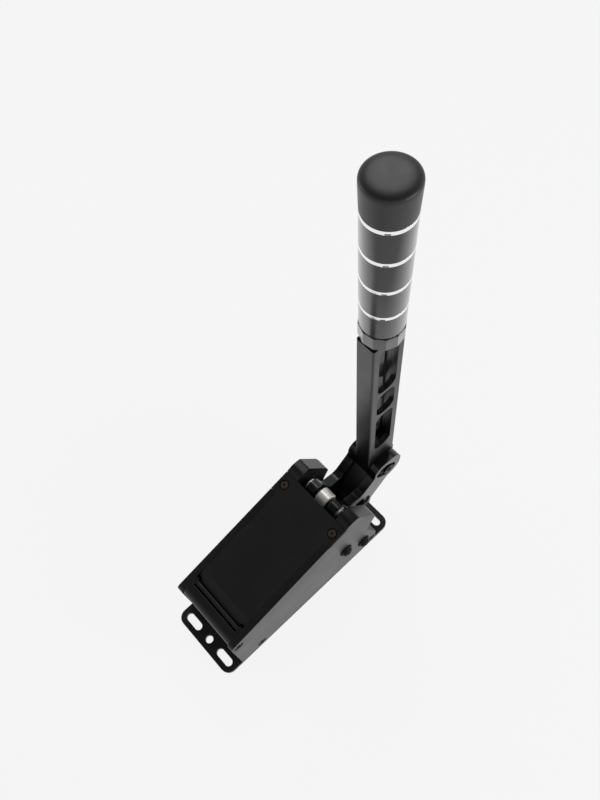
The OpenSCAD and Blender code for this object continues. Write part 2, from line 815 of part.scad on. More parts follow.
module pin_clips() {
    color(bright_steel) both_sides() difference() {
        cross_rod(pin_pt, pin_r + 1.4, cheek_out + washer_t + 0.15, cheek_out + 2 * washer_t + 0.15);
        cross_rod(pin_pt, pin_r - 0.8 + fit, 0, lots);
        translate([0, pin_pt[0] - 1.8, pin_pt[1] - 20]) cube([lots, 3.6, 20]);
    }
}

module pin_spacers() {
    color(dark_steel) both_sides() difference() {
        cross_rod(pin_pt, pin_r + 1, eye_w / 2 + 0.1, cheek_in);
        cross_rod(pin_pt, pin_r + fit, 0, lots);
    }
}

module foot_bolt() {
    seat = cheek_out - spot_depth;
    color(dark_steel) translate([seat + foot_head_h, foot_pt[0], foot_pt[1]]) rotate([0, 90, 0])
        cap_screw(foot_bolt_r + 2.5, foot_head_h, foot_bolt_r, 2 * seat + foot_head_h, foot_bolt_r - 1);
}

module foot_nut() {
    color(dark_steel) difference() {
        translate([-cheek_out + spot_depth - foot_head_h, foot_pt[0], foot_pt[1]]) rotate([0, 90, 0])
            cylinder(r = foot_bolt_r + 3.4, h = foot_head_h, $fn = 6);
        cross_rod(foot_pt, foot_bolt_r + fit, -lots / 2, lots / 2);
    }
}

bar_front = lever_y - bar_d / 2;
bar_back = lever_y + bar_d / 2;
foot_r = 11;
bar_from = clamp_z + top_lobe_r + 4;
foot_top = bar_from + 6;
foot_outline = [[bar_front, foot_top, 0], [bar_front, clamp_pt[1] + 1.5, 2],
    [foot_pt[0] - 4, foot_pt[1] + foot_r - 0.8, 2], [foot_pt[0] - 2, foot_pt[1] - foot_r + 1, 2],
    [foot_pt[0] + 8, foot_pt[1] - foot_r + 3.6, 3],
    [clamp_pt[0] + 3, clamp_pt[1] - top_lobe_r + 2.4, 4],
    [bar_back, clamp_pt[1] - 4, 6], [bar_back, foot_top, 0]];

// A window through the bar with round corners
module window(z0, length) {
    across(-bar_w, bar_w) translate([lever_y, z0 + length / 2])
        polygon(round_rect(window_w, length, window_r));
}

module lever_bar() {
    c = bar_chamfer;
    section = [[-bar_w / 2, -bar_d / 2 + c], [-bar_w / 2 + c, -bar_d / 2], [bar_w / 2 - c, -bar_d / 2],
        [bar_w / 2, -bar_d / 2 + c], [bar_w / 2, bar_d / 2 - c], [bar_w / 2 - c, bar_d / 2],
        [-bar_w / 2 + c, bar_d / 2], [-bar_w / 2, bar_d / 2 - c]];
    color(black_anodised) difference() {
        union() {
            translate([0, lever_y, bar_from]) linear_extrude(bar_top - bar_from) polygon(section);
            across(-bar_w / 2, bar_w / 2) intersection() {
                polygon(rounded(foot_outline));
                square([lots, 2 * bar_from + 0.2], center = true);
            }
            cross_rod(foot_pt, foot_r, -bar_w / 2, bar_w / 2);
        }
        for (i = [0:len(window_lens) - 1]) {
            window(window_z(i), window_lens[i]);
        }
        translate([bar_wall - bar_w / 2, bar_front + bar_wall, window_from - bar_wall])
            cube([bar_w - 2 * bar_wall, bar_d - 2 * bar_wall, hollow_top - window_from + bar_wall]);
        cross_rod(foot_pt, foot_bolt_r + run, -lots / 2, lots / 2);
        cross_rod(clamp_pt, clamp_bolt_r + fit, -lots / 2, lots / 2);
        translate([0, lever_y, hollow_top - 1]) cylinder(r = stud_r + fit, h = bar_top - hollow_top + 2);
    }
}

clamp_seat = cheek_out - recess_depth + washer_t;
clamp_nut_h = 4;

module clamp_bolt() {
    color(dark_steel) translate([clamp_seat + clamp_head_h, clamp_pt[0], clamp_pt[1]]) rotate([0, 90, 0])
        cap_screw(clamp_head_r, clamp_head_h, clamp_bolt_r, 2 * clamp_seat + clamp_nut_h, 2.6);
}

module clamp_washers() {
    color(dark_steel) both_sides() difference() {
        cross_rod(clamp_pt, clamp_head_r + 1, clamp_seat - washer_t + 0.05, clamp_seat);
        cross_rod(clamp_pt, clamp_bolt_r + fit, 0, lots);
    }
}

module clamp_nut() {
    color(dark_steel) difference() {
        translate([-clamp_seat - clamp_nut_h, clamp_pt[0], clamp_pt[1]]) rotate([0, 90, 0])
            cylinder(r = 5.7, h = clamp_nut_h, $fn = 6);
        cross_rod(clamp_pt, clamp_bolt_r + fit, -lots / 2, lots / 2);
    }
}

// Threaded stud with a shoulder that shows as the dark neck under the collar
module grip_stud() {
    color(dark_steel) translate([0, lever_y, 0]) {
        translate([0, 0, bar_top - stud_in_bar])
            cylinder(r = stud_r, h = stud_in_bar + neck_h + collar_h + stud_in_core);
        translate([0, 0, bar_top]) cylinder(r = stud_r + 2, h = neck_h);
    }
}

module lock_collar() {
    color(satin_grip) translate([0, lever_y, collar_z]) difference() {
        rotate([0, 0, -6]) cylinder(r = collar_r, h = collar_h, $fn = 12);
        translate([0, 0, -1]) cylinder(r = stud_r + fit, h = collar_h + 2);
    }
}

// Turned core that carries the sleeves and rings, with a foot under the lowest sleeve
module grip_core() {
    core_top = cap_z + core_in_cap;
    color(dark_steel) translate([0, lever_y, 0]) difference() {
        union() {
            translate([0, 0, grip_z]) cylinder(r = core_r, h = core_top - grip_z);
            translate([0, 0, grip_z - foot_disc_h]) cylinder(r = grip_low_r - 1.4, h = foot_disc_h);
        }
        translate([0, 0, grip_z - 2]) cylinder(r = stud_r + fit, h = stud_in_core + stud_room);
    }
}

// One satin sleeve of the grip, with a fine chamfer at both ends
module grip_sleeve(i) {
    h = sleeve_len(i);
    c = 0.4;
    in_r = core_r + fit;
    low = grip_r_at(sleeve_z(i));
    high = grip_r_at(ring_z(i));
    color(satin_grip) translate([0, lever_y, sleeve_z(i)]) rotate_extrude()
        polygon([[in_r, 0], [low - c, 0], [low, c], [high, h - c], [high - c, h], [in_r, h]]);
}

// One bright ring of the grip, with a small notch at its lower edge
module grip_ring(i) {
    r = grip_r_at(ring_z(i));
    color(bright_steel) translate([0, lever_y, ring_z(i)]) difference() {
        ring(r, core_r + fit, ring_h);
        rotate([0, 0, notch_turn]) translate([r - 1, -1.35, 0.25]) cube([2, 2.7, 0.9]);
    }
}

module grip_cap() {
    in_r = core_r + fit;
    depth = core_in_cap + fit;
    top_edge = [for (a = [0:10:90]) [grip_r + cap_flare - cap_edge_r * (1 - cos(a)),
        cap_h - cap_edge_r * (1 - sin(a))]];
    color(black_anodised) translate([0, lever_y, cap_z]) rotate_extrude()
        polygon(concat([[in_r, 0], [grip_r - 0.4, 0], [grip_r, 0.4]], top_edge,
            [[0, cap_h], [0, depth], [in_r, depth]]));
}

module rod_end() {
    color(bright_steel) difference() {
        union() {
            cross_rod(pin_pt, eye_r, -eye_w / 2, eye_w / 2);
            on_rod(eye_r - 2) cylinder(r = rod_r + 1, h = eye_neck + 2 - eye_r);
        }
        cross_rod(pin_pt, pin_r + run, -lots / 2, lots / 2);
        on_rod(eye_r + 1) cylinder(r = rod_r - 1 + fit, h = eye_neck);
    }
}

module push_rod() {
    color(bright_steel) union() {
        on_rod(eye_neck + 0.05) cylinder(r = rod_r, h = ball_at - eye_neck);
        on_rod(eye_r + 1.2) cylinder(r = rod_r - 1, h = eye_neck - eye_r);
        on_rod(ball_at) sphere(r = ball_r);
    }
}

module lock_nut() {
    color(dark_steel) on_rod(eye_neck + 0.1) difference() {
        cylinder(r = 7.4, h = nut_h, $fn = 6);
        translate([0, 0, -1]) cylinder(r = rod_r + fit, h = nut_h + 2);
    }
}

// Piston with a cup for the rod's ball
module piston() {
    color(bright_steel) on_rod(piston_at) difference() {
        union() {
            cylinder(r = tube_in - 0.08, h = 2.5);
            translate([0, 0, 2.4]) cylinder(r = tube_in - 1.5, h = piston_len - 4.8);
            translate([0, 0, piston_len - 2.5]) cylinder(r = tube_in - 0.08, h = 2.5);
        }
        translate([0, 0, -1]) cylinder(r = cup_r, h = cup_len + 1);
    }
}

base_plate();
side_plate_left();
side_plate_right();
cover();
cover_screws();
end_plate();
retaining_rod();
reaction_block();
tube_saddle();
far_cross_bar();
side_screws();
base_screws();
guide_tube();
gland_ring();
rebound_bumper();
force_sensor();
preload_screw();
preload_nut();
soft_elastomer();
hard_elastomer();
circuit_board();
board_parts();
board_screws();
data_port();
stop_bar();
stop_bumper();
stop_bolts();
pivot_shaft();
pivot_spacers();
pivot_bolts();
cheek_left();
cheek_right();
pivot_bushes();
hub_sleeve();
clevis_pin();
pin_washers();
pin_clips();
pin_spacers();
foot_bolt();
foot_nut();
lever_bar();
clamp_bolt();
clamp_washers();
clamp_nut();
grip_stud();
lock_collar();
grip_core();
grip_sleeve(0);  // grip_sleeve_1
grip_sleeve(1);  // grip_sleeve_2
grip_sleeve(2);  // grip_sleeve_3
grip_sleeve(3);  // grip_sleeve_4
grip_ring(0);  // grip_ring_1
grip_ring(1);  // grip_ring_2
grip_ring(2);  // grip_ring_3
grip_ring(3);  // grip_ring_4
grip_cap();
rod_end();
push_rod();
lock_nut();
piston();
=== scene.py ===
"""Looks of a driving simulator's handbrake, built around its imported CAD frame.

Sizes are in millimetres and become metres when a surface turns into a mesh. Every piece takes its place
from the CAD solid that it stands for, so it follows the frame.
"""

import json
import logging
import math
from abc import ABC, abstractmethod
from dataclasses import dataclass
from enum import Enum
from typing import Callable, NamedTuple, Union

import bmesh
import bpy
import numpy as np
from numpy.typing import ArrayLike
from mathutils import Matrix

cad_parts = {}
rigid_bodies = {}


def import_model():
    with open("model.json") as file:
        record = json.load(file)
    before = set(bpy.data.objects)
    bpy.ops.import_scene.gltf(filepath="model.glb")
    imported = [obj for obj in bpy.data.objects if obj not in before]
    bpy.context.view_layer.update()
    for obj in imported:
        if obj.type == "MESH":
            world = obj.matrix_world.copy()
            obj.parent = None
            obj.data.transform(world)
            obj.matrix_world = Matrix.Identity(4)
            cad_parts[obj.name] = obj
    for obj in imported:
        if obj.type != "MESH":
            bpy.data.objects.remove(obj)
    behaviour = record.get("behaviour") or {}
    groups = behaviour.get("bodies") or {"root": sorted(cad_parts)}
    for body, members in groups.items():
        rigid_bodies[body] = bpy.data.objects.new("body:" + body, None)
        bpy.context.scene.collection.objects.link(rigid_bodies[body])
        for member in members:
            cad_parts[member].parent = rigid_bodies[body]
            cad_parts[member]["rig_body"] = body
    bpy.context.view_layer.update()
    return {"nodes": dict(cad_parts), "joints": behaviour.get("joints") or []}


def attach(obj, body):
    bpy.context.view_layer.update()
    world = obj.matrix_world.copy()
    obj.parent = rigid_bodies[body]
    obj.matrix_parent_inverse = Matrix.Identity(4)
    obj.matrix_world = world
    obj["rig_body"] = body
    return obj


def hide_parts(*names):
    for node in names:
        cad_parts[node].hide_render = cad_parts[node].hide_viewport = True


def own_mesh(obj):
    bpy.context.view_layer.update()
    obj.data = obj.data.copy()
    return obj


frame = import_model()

MM = 0.001
NO_LIMIT = 1e9
ARC_STEPS = 5
ROD_FACETS, SCREW_FACETS, FACETS, RING_FACETS = 48, 72, 96, 360
WELD = 2e-6
HEX = 6
SOCKET_FLOOR = 0.86

log = logging.getLogger("handbrake")

Vec = tuple[float, float, float]
Array = np.ndarray
Carve = Callable[[Array, Array, Array], Array]
Piece = bpy.types.Object
Tree = bpy.types.NodeTree
Node = bpy.types.Node
Socket = bpy.types.NodeSocket
SocketValue = Union[Socket, float, tuple]


# Geometry


class Row(NamedTuple):
    """A corner of a turned profile.

    Attributes:
        radius: Distance from the axis. On a polygon it is the distance of the polygon's corners.
        height: Place along the axis.
        fillet: Radius that rounds the corner.
        sides: 0 for a round section, or the number of sides of a polygon.
        limit: Largest radius that a polygon may reach, which turns its corners off as on a nut.
    """

    radius: float
    height: float
    fillet: float = 0.0
    sides: int = 0
    limit: float = NO_LIMIT


def unit(vectors: ArrayLike) -> Array:
    """Returns vectors scaled to length 1, and zero vectors unchanged."""
    length = np.linalg.norm(vectors, axis=-1, keepdims=True)
    return np.asarray(vectors, float) / np.where(length < 1e-12, 1.0, length)


def rounded_path(corners: Array, closed: bool, steps: int = ARC_STEPS) -> Array:
    """Rounds the corners of a flat path.

    Each arc's centre lies on the corner's bisector, at radius / sin(half angle) from the corner, and the
    arc runs between the two points at radius / tan(half angle) along the legs.

    Args:
        corners: One row (x, y, radius) per corner.
        closed: Whether the last corner joins the first.
        steps: Facets of each arc.

    Returns:
        Points (x, y), steps + 1 for each corner.
    """
    place, radius = corners[:, :2], corners[:, 2:3]
    before, after = np.roll(place, 1, 0), np.roll(place, -1, 0)
    if not closed:
        before[0] = 2 * place[0] - place[1]
        after[-1] = 2 * place[-1] - place[-2]
    back, ahead = unit(before - place), unit(after - place)
    cosine = np.clip(np.sum(back * ahead, axis=1, keepdims=True), -1, 1)
    half = np.maximum(np.arccos(cosine) / 2, 1e-3)
    radius = np.where(half > math.pi / 2 - 1e-4, 0.0, radius)
    middle = place + unit(back + ahead) * radius / np.sin(half)
    start = place + back * radius / np.tan(half) - middle
    end = place + ahead * radius / np.tan(half) - middle
    sweep = np.maximum(math.pi - 2 * half, 1e-6)[:, :, None]
    share = np.linspace(0, 1, steps + 1)[None, :, None]
    arc = np.sin((1 - share) * sweep) * start[:, None] + np.sin(share * sweep) * end[:, None]
    return (middle[:, None] + arc / np.sin(sweep)).reshape(-1, 2)


@dataclass(frozen=True)
class Axis:
    """A line that a round piece is turned about.

    Attributes:
        origin: Where heights start.
        along: Direction of growing height.
        side: Direction of angle 0, square to along.
    """

    origin: Vec
    along: Vec = (0.0, 0.0, 1.0)
    side: Vec = (1.0, 0.0, 0.0)

    def point(self, radius: Array, angle: Array, height: Array) -> Array:
        """Returns the points at these radii, angles and heights, one more dimension deep than the arrays."""
        along, side = unit(self.along), unit(self.side)
        spread = radius * np.cos(angle), radius * np.sin(angle), height
        ways = side, np.cross(along, side), along
        return np.array(self.origin) + sum(part[..., None] * way for part, way in zip(spread, ways))

    def measure(self, points: Array) -> tuple[Array, Array]:
        """Returns the height and the radius of each point."""
        along = unit(self.along)
        away = points - np.array(self.origin)
        height = away @ along
        return height, np.linalg.norm(away - height[:, None] * along, axis=1)


@dataclass(frozen=True)
class Solid:
    """One closed solid of a CAD node, known by its points in millimetres."""

    points: Array

    @property
    def low(self) -> Array:
        """Lowest corner."""
        return self.points.min(0)

    @property
    def high(self) -> Array:
        """Highest corner."""
        return self.points.max(0)

    @property
    def centre(self) -> Array:
        """Middle of the box."""
        return (self.low + self.high) / 2


class Gauge:
    """A solid measured about an axis.

    Attributes:
        axis: The axis.
        start: Lowest height of the solid along it.
        end: Highest height.
        outer: Largest radius about it.
        bore: Smallest radius, which is the bore of a ring.
    """

    def __init__(self, solid: Solid, axis: Axis) -> None:
        """Measures every point of the solid."""
        self.axis = axis
        self.height, self.radius = axis.measure(solid.points)
        self.start, self.end = float(self.height.min()), float(self.height.max())
        self.outer, self.bore = float(self.radius.max()), float(self.radius.min())

    def widest(self, low: float = -NO_LIMIT, high: float = NO_LIMIT) -> float:
        """Returns the largest radius between two heights."""
        return float(self.radius[(self.height >= low) & (self.height <= high)].max())


def solids(node: str) -> list[Solid]:
    """Splits a CAD node into its closed solids.

    Every point takes the lowest label among the points of its triangles until no label changes.

    Args:
        node: Name of the CAD node.

    Returns:
        The solids, from the lowest x, y and z up.
    """
    mesh = frame["nodes"][node].data
    points = np.zeros(len(mesh.vertices) * 3, np.float32)
    mesh.vertices.foreach_get("co", points)
    corners = np.zeros(len(mesh.loops), np.int32)
    mesh.loops.foreach_get("vertex_index", corners)
    places, shared = np.unique(np.round(points.reshape(-1, 3), 6), axis=0, return_inverse=True)
    triangles = shared.reshape(-1)[corners].reshape(-1, 3)
    label = np.arange(len(places))
    while True:
        lowest = label.copy()
        np.minimum.at(lowest, triangles.ravel(), np.repeat(label[triangles].min(1), 3))
        if np.array_equal(lowest, label):
            break
        label = lowest
    found = [Solid(places[label == one] / MM) for one in np.unique(label)]
    return sorted(found, key=lambda s: tuple(np.round(s.centre, 2)))


@dataclass(frozen=True)
class Surface:
    """Points, four-cornered faces and face corner UVs that can still be joined.

    Attributes:
        points: One row per point, in millimetres.
        faces: Four point numbers per face.
        uvs: A UV pair for each corner of each face. V runs along the profile in metres.
    """

    points: Array
    faces: Array
    uvs: Array

    def __add__(self, other: "Surface") -> "Surface":
        """Returns both surfaces as one."""
        return Surface(
            np.vstack((self.points, other.points)),
            np.vstack((self.faces, other.faces + len(self.points))),
            np.vstack((self.uvs, other.uvs)),
        )


def joined(parts: list[Surface]) -> Surface:
    """Returns several surfaces as one."""
    whole = parts[0]
    for part in parts[1:]:
        whole = whole + part
    return whole


def woven(grid: Array, lengths: Array, close_rows: bool) -> Surface:
    """Makes faces on a grid of points whose columns run round a piece.

    Args:
        grid: Points, rows by columns by 3, in millimetres.
        lengths: Distance along the profile of each row, in millimetres.
        close_rows: Whether the last row joins the first, as on a ring.

    Returns:
        The surface.
    """
    rows, columns = grid.shape[:2]
    last = rows if close_rows else rows - 1
    row, column = np.meshgrid(np.arange(last), np.arange(columns), indexing="ij")
    here, below = row * columns, (row + 1) % rows * columns
    beside = (column + 1) % columns
    faces = np.stack([here + column, here + beside, below + beside, below + column], -1)
    reach = np.append(lengths, lengths[-1] + np.linalg.norm(grid[0, 0] - grid[-1, 0])) * MM
    left, right = column / columns, (column + 1) / columns
    near, far = reach[row], reach[row + 1]
    corners = (left, near), (right, near), (right, far), (left, far)
    uvs = np.stack([np.stack(corner, -1) for corner in corners], -2)
    return Surface(grid.reshape(-1, 3), faces.reshape(-1, 4), uvs.reshape(-1, 4, 2))


def turned(
    rows: list[tuple], axis: Axis, steps: int = FACETS, ring: bool = False, carve: Carve | None = None
) -> Surface:
    """Turns a profile about an axis.

    The point at angle a of a profile point lies radius * cos(a) to the side, radius * sin(a) across and
    its height along the axis. A polygon's radius is its corner radius * cos(pi / n) / cos(a - middle of
    the nearest side).

    Args:
        rows: Corners of the profile in order along it, each the first numbers of a Row.
        axis: The line it is turned about.
        steps: Facets round the piece, a multiple of every polygon's sides.
        ring: Whether the profile closes on itself, as on a washer.
        carve: Takes the radii, angles and heights as arrays and returns changed radii.

    Returns:
        The turned surface.
    """
    table = np.array([Row(*row) for row in rows], float)
    path = rounded_path(table[:, :3], ring)
    sides, limit = (np.repeat(column, ARC_STEPS + 1)[:, None] for column in table[:, 3:].T)
    angle = np.repeat(np.arange(steps)[None, :] * math.tau / steps, len(path), 0)
    height = np.repeat(path[:, 1:], steps, 1)
    wedge = math.tau / np.maximum(sides, 3)
    polygon = path[:, :1] * np.cos(wedge / 2) / np.cos(angle % wedge - wedge / 2)
    radius = np.where(sides > 0, np.minimum(polygon, limit), path[:, :1])
    if carve:
        radius = carve(radius, angle, height)
    lengths = np.concatenate(([0.0], np.cumsum(np.linalg.norm(np.diff(path, axis=0), axis=1))))
    return woven(axis.point(radius, angle, height), lengths, ring)


def both_ends(
    rows: list[tuple], start: float, end: float, between: list[tuple] | None = None
) -> list[tuple]:
    """Returns profile rows, the ones between, and the first again in reverse, mirrored from start to end."""
    mirrored = [(radius, start + end - height, *rest) for radius, height, *rest in reversed(rows)]
    return rows + (between or []) + mirrored


def hex_socket(radius: float, tip: float, floor: float, mouth: float) -> list[tuple]:
    """Returns the rows of a hexagonal socket, from its drilled tip over its floor to its mouth."""
    return [(0, tip), (radius * SOCKET_FLOOR, floor), (radius, floor, 0, HEX), (radius, mouth, 0, HEX)]


def grooved(depth: float, inside: float, low: float, high: float, count: int, per_mm: float = 0.0) -> Carve:
    """Returns what cuts knurls or a thread: depth times a raised cosine of count * angle + per_mm * height.

    Args:
        depth: Depth of the grooves.
        inside: Radius outside which they are cut.
        low: Height that they start at.
        high: Height that they end at.
        count: Grooves round the piece, or -1 for a thread.
        per_mm: Turn of the grooves along the axis, in radians per millimetre.

    Returns:
        The function that changes the radii.
    """

    def cut(radius: Array, angle: Array, height: Array) -> Array:
        """Lowers the radii in the grooves."""
        reached = (radius > inside) & (height > low) & (height < high)
        wave = 0.5 + 0.5 * np.cos(count * angle + per_mm * height)
        return np.where(reached, radius - depth * wave, radius)

    return cut


def layered(half: Vec, layers: list[tuple[float, float]], axis: Axis) -> Surface:
    """Carries a closed outline through layers, each drawn in by an inset.

    A point of a layer is the outline's point moved towards the middle by the inset, measured along both
    axes of the outline, and then moved along the axis by the layer's depth.

    Args:
        half: Half width, half height and corner radius of the outline.
        layers: Inset and depth of each layer.
        axis: Where the depths start and their direction. Its side is the direction of the width.

    Returns:
        The closed surface, with the first and last layer drawn to their middle.
    """
    half_w, half_h, radius = half
    signs = np.array([[-1, -1], [1, -1], [1, 1], [-1, 1]], float)
    loops = []
    for inset, _ in layers:
        size = np.maximum(np.array([half_w - inset, half_h - inset]), 0)
        corner = min(max(radius - inset, 0.05), size.min())
        loops.append(rounded_path(np.column_stack((signs * size, np.full(4, corner))), True, 6))
    flat = np.stack([loops[0] * 0, *loops, loops[-1] * 0])
    depth = np.array([layers[0][1], *(depth for _, depth in layers), layers[-1][1]])
    along, wide = unit(axis.along), unit(axis.side)
    spread = flat[..., :1] * wide + flat[..., 1:] * np.cross(along, wide)
    grid = np.array(axis.origin) + spread + depth[:, None, None] * along
    lengths = np.concatenate(([0.0], np.cumsum(np.abs(np.diff(depth)) + 0.1)))
    return woven(grid, lengths, False)


# Pieces


def linked(name: str, data: bpy.types.ID) -> Piece:
    """Returns a new object with a mesh, lamp or camera as its data, linked to the scene."""
    thing = bpy.data.objects.new(name, data)
    bpy.context.scene.collection.objects.link(thing)
    return thing


def settle(piece: Piece) -> Piece:
    """Turns a piece's modifiers into its mesh, with normals that keep flats flat beside their edges."""
    shading = piece.modifiers.new("Even shading", "WEIGHTED_NORMAL")
    shading.mode = "FACE_AREA"
    shading.weight = 90
    shading.keep_sharp = True
    depsgraph = bpy.context.evaluated_depsgraph_get()
    solid = piece.evaluated_get(depsgraph)
    mesh = bpy.data.meshes.new_from_object(solid, preserve_all_data_layers=True, depsgraph=depsgraph)
    old = piece.data
    piece.modifiers.clear()
    piece.data = mesh
    mesh.name = piece.name
    bpy.data.meshes.remove(old)
    return piece


def as_piece(name: str, surface: Surface, crease: float = 24.0) -> Piece:
    """Makes a mesh object of a surface, with welded poles and seams and outward faces.

    Args:
        name: Name of the piece.
        surface: What it is made of.
        crease: Angle in degrees past which an edge stays sharp.

    Returns:
        The object, linked to the scene.
    """
    mesh = bpy.data.meshes.new(name)
    mesh.from_pydata((surface.points * MM).tolist(), [], surface.faces.tolist())
    mesh.uv_layers.new(name="Turned").data.foreach_set("uv", surface.uvs.astype(np.float32).ravel())
    shape = bmesh.new()
    shape.from_mesh(mesh)
    bmesh.ops.remove_doubles(shape, verts=shape.verts, dist=WELD)
    bmesh.ops.dissolve_degenerate(shape, edges=shape.edges, dist=WELD / 2)
    bmesh.ops.recalc_face_normals(shape, faces=shape.faces)
    shape.to_mesh(mesh)
    shape.free()
    mesh.shade_smooth()
    mesh.set_sharp_from_angle(angle=math.radians(crease))
    return settle(linked(name, mesh))


def softened(node: str, width: float, segments: int = 3) -> Piece:
    """Copies a CAD node and rounds its sharp edges, as a deburred machined piece has them.

    Args:
        node: Name of the CAD node.
        width: Width of the rounding, in millimetres.
        segments: Facets of the rounding.

    Returns:
        The object, linked to the scene.
    """
    flat_angle, smooth_angle, sharp_angle = (math.radians(angle) for angle in (0.4, 14, 31))
    mesh = frame["nodes"][node].data.copy()
    shape = bmesh.new()
    shape.from_mesh(mesh)
    bmesh.ops.remove_doubles(shape, verts=shape.verts, dist=WELD)
    bmesh.ops.dissolve_limit(shape, angle_limit=flat_angle, verts=shape.verts, edges=shape.edges)
    bmesh.ops.triangulate(shape, faces=[face for face in shape.faces if len(face.verts) > 4])
    shape.to_mesh(mesh)
    shape.free()
    mesh.shade_smooth()
    mesh.set_sharp_from_angle(angle=smooth_angle)
    piece = linked(f"{node}_dressed", mesh)
    edge = piece.modifiers.new("Deburred edges", "BEVEL")
    edge.width = width * MM
    edge.segments = segments
    edge.limit_method = "ANGLE"
    edge.angle_limit = sharp_angle
    edge.use_clamp_overlap = False
    edge.miter_outer = "MITER_ARC"
    edge.loop_slide = False
    return settle(piece)


# Finishes


class Slot(Enum):
    """The record's material slots."""

    PLATE = "plate_black"
    ANODISED = "anodised_black"
    COVER = "cover_black"
    CHEEK = "cheek_black"
    BAR = "bar_black"
    GRIP = "grip_satin"
    CAP = "cap_black"
    CORE = "core_aluminium"
    RING = "ring_bright"
    BRONZE_SCREW = "screw_bronze"
    BOLT = "bolt_black"
    DARK_STEEL = "steel_dark"
    BRIGHT_STEEL = "steel_bright"
    BUSH = "bush_bronze"
    URETHANE = "urethane"
    BOARD = "board_green"
    CHIP = "chip_black"


class Graph:
    """Adds nodes to a node tree, a line for each node."""

    def __init__(self, tree: Tree) -> None:
        """Keeps the tree and empties it."""
        self.tree = tree
        tree.nodes.clear()

    def add(self, kind: str, inputs: dict[str | int, SocketValue] | None = None, **settings: object) -> Node:
        """Adds a node.

        Args:
            kind: Blender's name of the node type.
            inputs: Value or linked socket for each named or numbered input.
            **settings: Properties of the node.

        Returns:
            The node.
        """
        node = self.tree.nodes.new(kind)
        for key, value in settings.items():
            setattr(node, key, value)
        for key, value in (inputs or {}).items():
            if isinstance(value, Socket):
                self.tree.links.new(value, node.inputs[key])
            else:
                node.inputs[key].default_value = value
        return node

    def math(self, operation: str, first: SocketValue, second: SocketValue = 0.0) -> Socket:
        """Returns the result of a sum, product or other step on two values."""
        return self.add("ShaderNodeMath", {0: first, 1: second}, operation=operation).outputs[0]

    def noise(self, scale: SocketValue, detail: float = 3.0, rough: float = 0.5) -> Socket:
        """Returns a noise value between 0 and 1 for the place on the object."""
        place = self.add("ShaderNodeTexCoord").outputs["Object"]
        inputs = {"Vector": place, "Scale": scale, "Detail": detail, "Roughness": rough}
        return self.add("ShaderNodeTexNoise", inputs).outputs[0]

    def ramp(
        self, value: Socket, low: float, high: float, to_low: float = 0.0, to_high: float = 1.0
    ) -> Socket:
        """Returns a value moved from one range to another and kept inside it."""
        inputs = {"Value": value, "From Min": low, "From Max": high, "To Min": to_low, "To Max": to_high}
        return self.add("ShaderNodeMapRange", inputs, clamp=True).outputs[0]

    def blend(self, share: Socket, first: SocketValue, second: SocketValue) -> Socket:
        """Returns a colour between two colours."""
        return self.add("ShaderNodeMix", {0: share, 6: first, 7: second}, data_type="RGBA").outputs[2]

    def effect(self, effect: "Effect", **inputs: SocketValue) -> Socket:
        """Returns the output of one of the shared surface effects."""
        return self.add("ShaderNodeGroup", inputs, node_tree=effect.group()).outputs[0]


def grey(level: float) -> tuple[float, ...]:
    """Returns a grey as the four numbers of a colour."""
    return (level, level, level, 1.0)


class Effect(Enum):
    """Surface effects that several finishes share, each a shader node group."""

    GRAIN = "Blasted grain"
    LINES = "Turning lines"
    WEAR = "Edge wear"
    MARKS = "Handling marks"

    def group(self) -> Tree:
        """Returns this effect's node group, built the first time it is asked for."""
        made = bpy.data.node_groups.get(self.value)
        return made if made else EFFECT_BUILDERS[self](self.value)


def new_group(name: str, inputs: dict[str, float], output: str) -> tuple[Graph, Node, Socket]:
    """Starts a node group.

    Args:
        name: Name of the group.
        inputs: Default value of each input.
        output: Name of the one output.

    Returns:
        The graph to add to, the outputs of the group's input node and the socket for the result.
    """
    tree = bpy.data.node_groups.new(name, "ShaderNodeTree")
    for key, value in inputs.items():
        socket = tree.interface.new_socket(name=key, in_out="INPUT", socket_type="NodeSocketFloat")
        socket.default_value = value
    tree.interface.new_socket(name=output, in_out="OUTPUT", socket_type="NodeSocketFloat")
    graph = Graph(tree)
    return graph, graph.add("NodeGroupInput").outputs, graph.add("NodeGroupOutput").inputs[output]


def build_grain(name: str) -> Tree:
    """Builds the grain of a blasted surface: a coarse and a fine noise, added up to a height."""
    graph, source, result = new_group(name, {"Scale": 2500.0, "Depth": 0.01}, "Height")
    coarse = graph.noise(source["Scale"], 4.0, 0.6)
    fine = graph.noise(graph.math("MULTIPLY", source["Scale"], 2.3), 2.0)
    both = graph.math("ADD", coarse, graph.math("MULTIPLY", fine, 0.5))
    graph.tree.links.new(graph.math("MULTIPLY", both, source["Depth"]), result)
    return graph.tree


def build_lines(name: str) -> Tree:
    """Builds the fine lines of turning: a wave along the profile, with its depth varied by a slow noise."""
    graph, source, result = new_group(name, {"Pitch": 0.0003, "Depth": 0.002}, "Height")
    place = graph.add("ShaderNodeTexCoord").outputs["UV"]
    along = graph.add("ShaderNodeSeparateXYZ", {0: place}).outputs[1]
    turns = graph.math("DIVIDE", graph.math("MULTIPLY", along, math.tau), source["Pitch"])
    slow = {"W": graph.math("MULTIPLY", along, 1700.0), "Detail": 5.0}
    wander = graph.add("ShaderNodeTexNoise", slow, noise_dimensions="1D").outputs[0]
    wave = graph.math("ADD", graph.math("SINE", turns), graph.math("MULTIPLY", wander, 3.0))
    graph.tree.links.new(graph.math("MULTIPLY", wave, source["Depth"]), result)
    return graph.tree


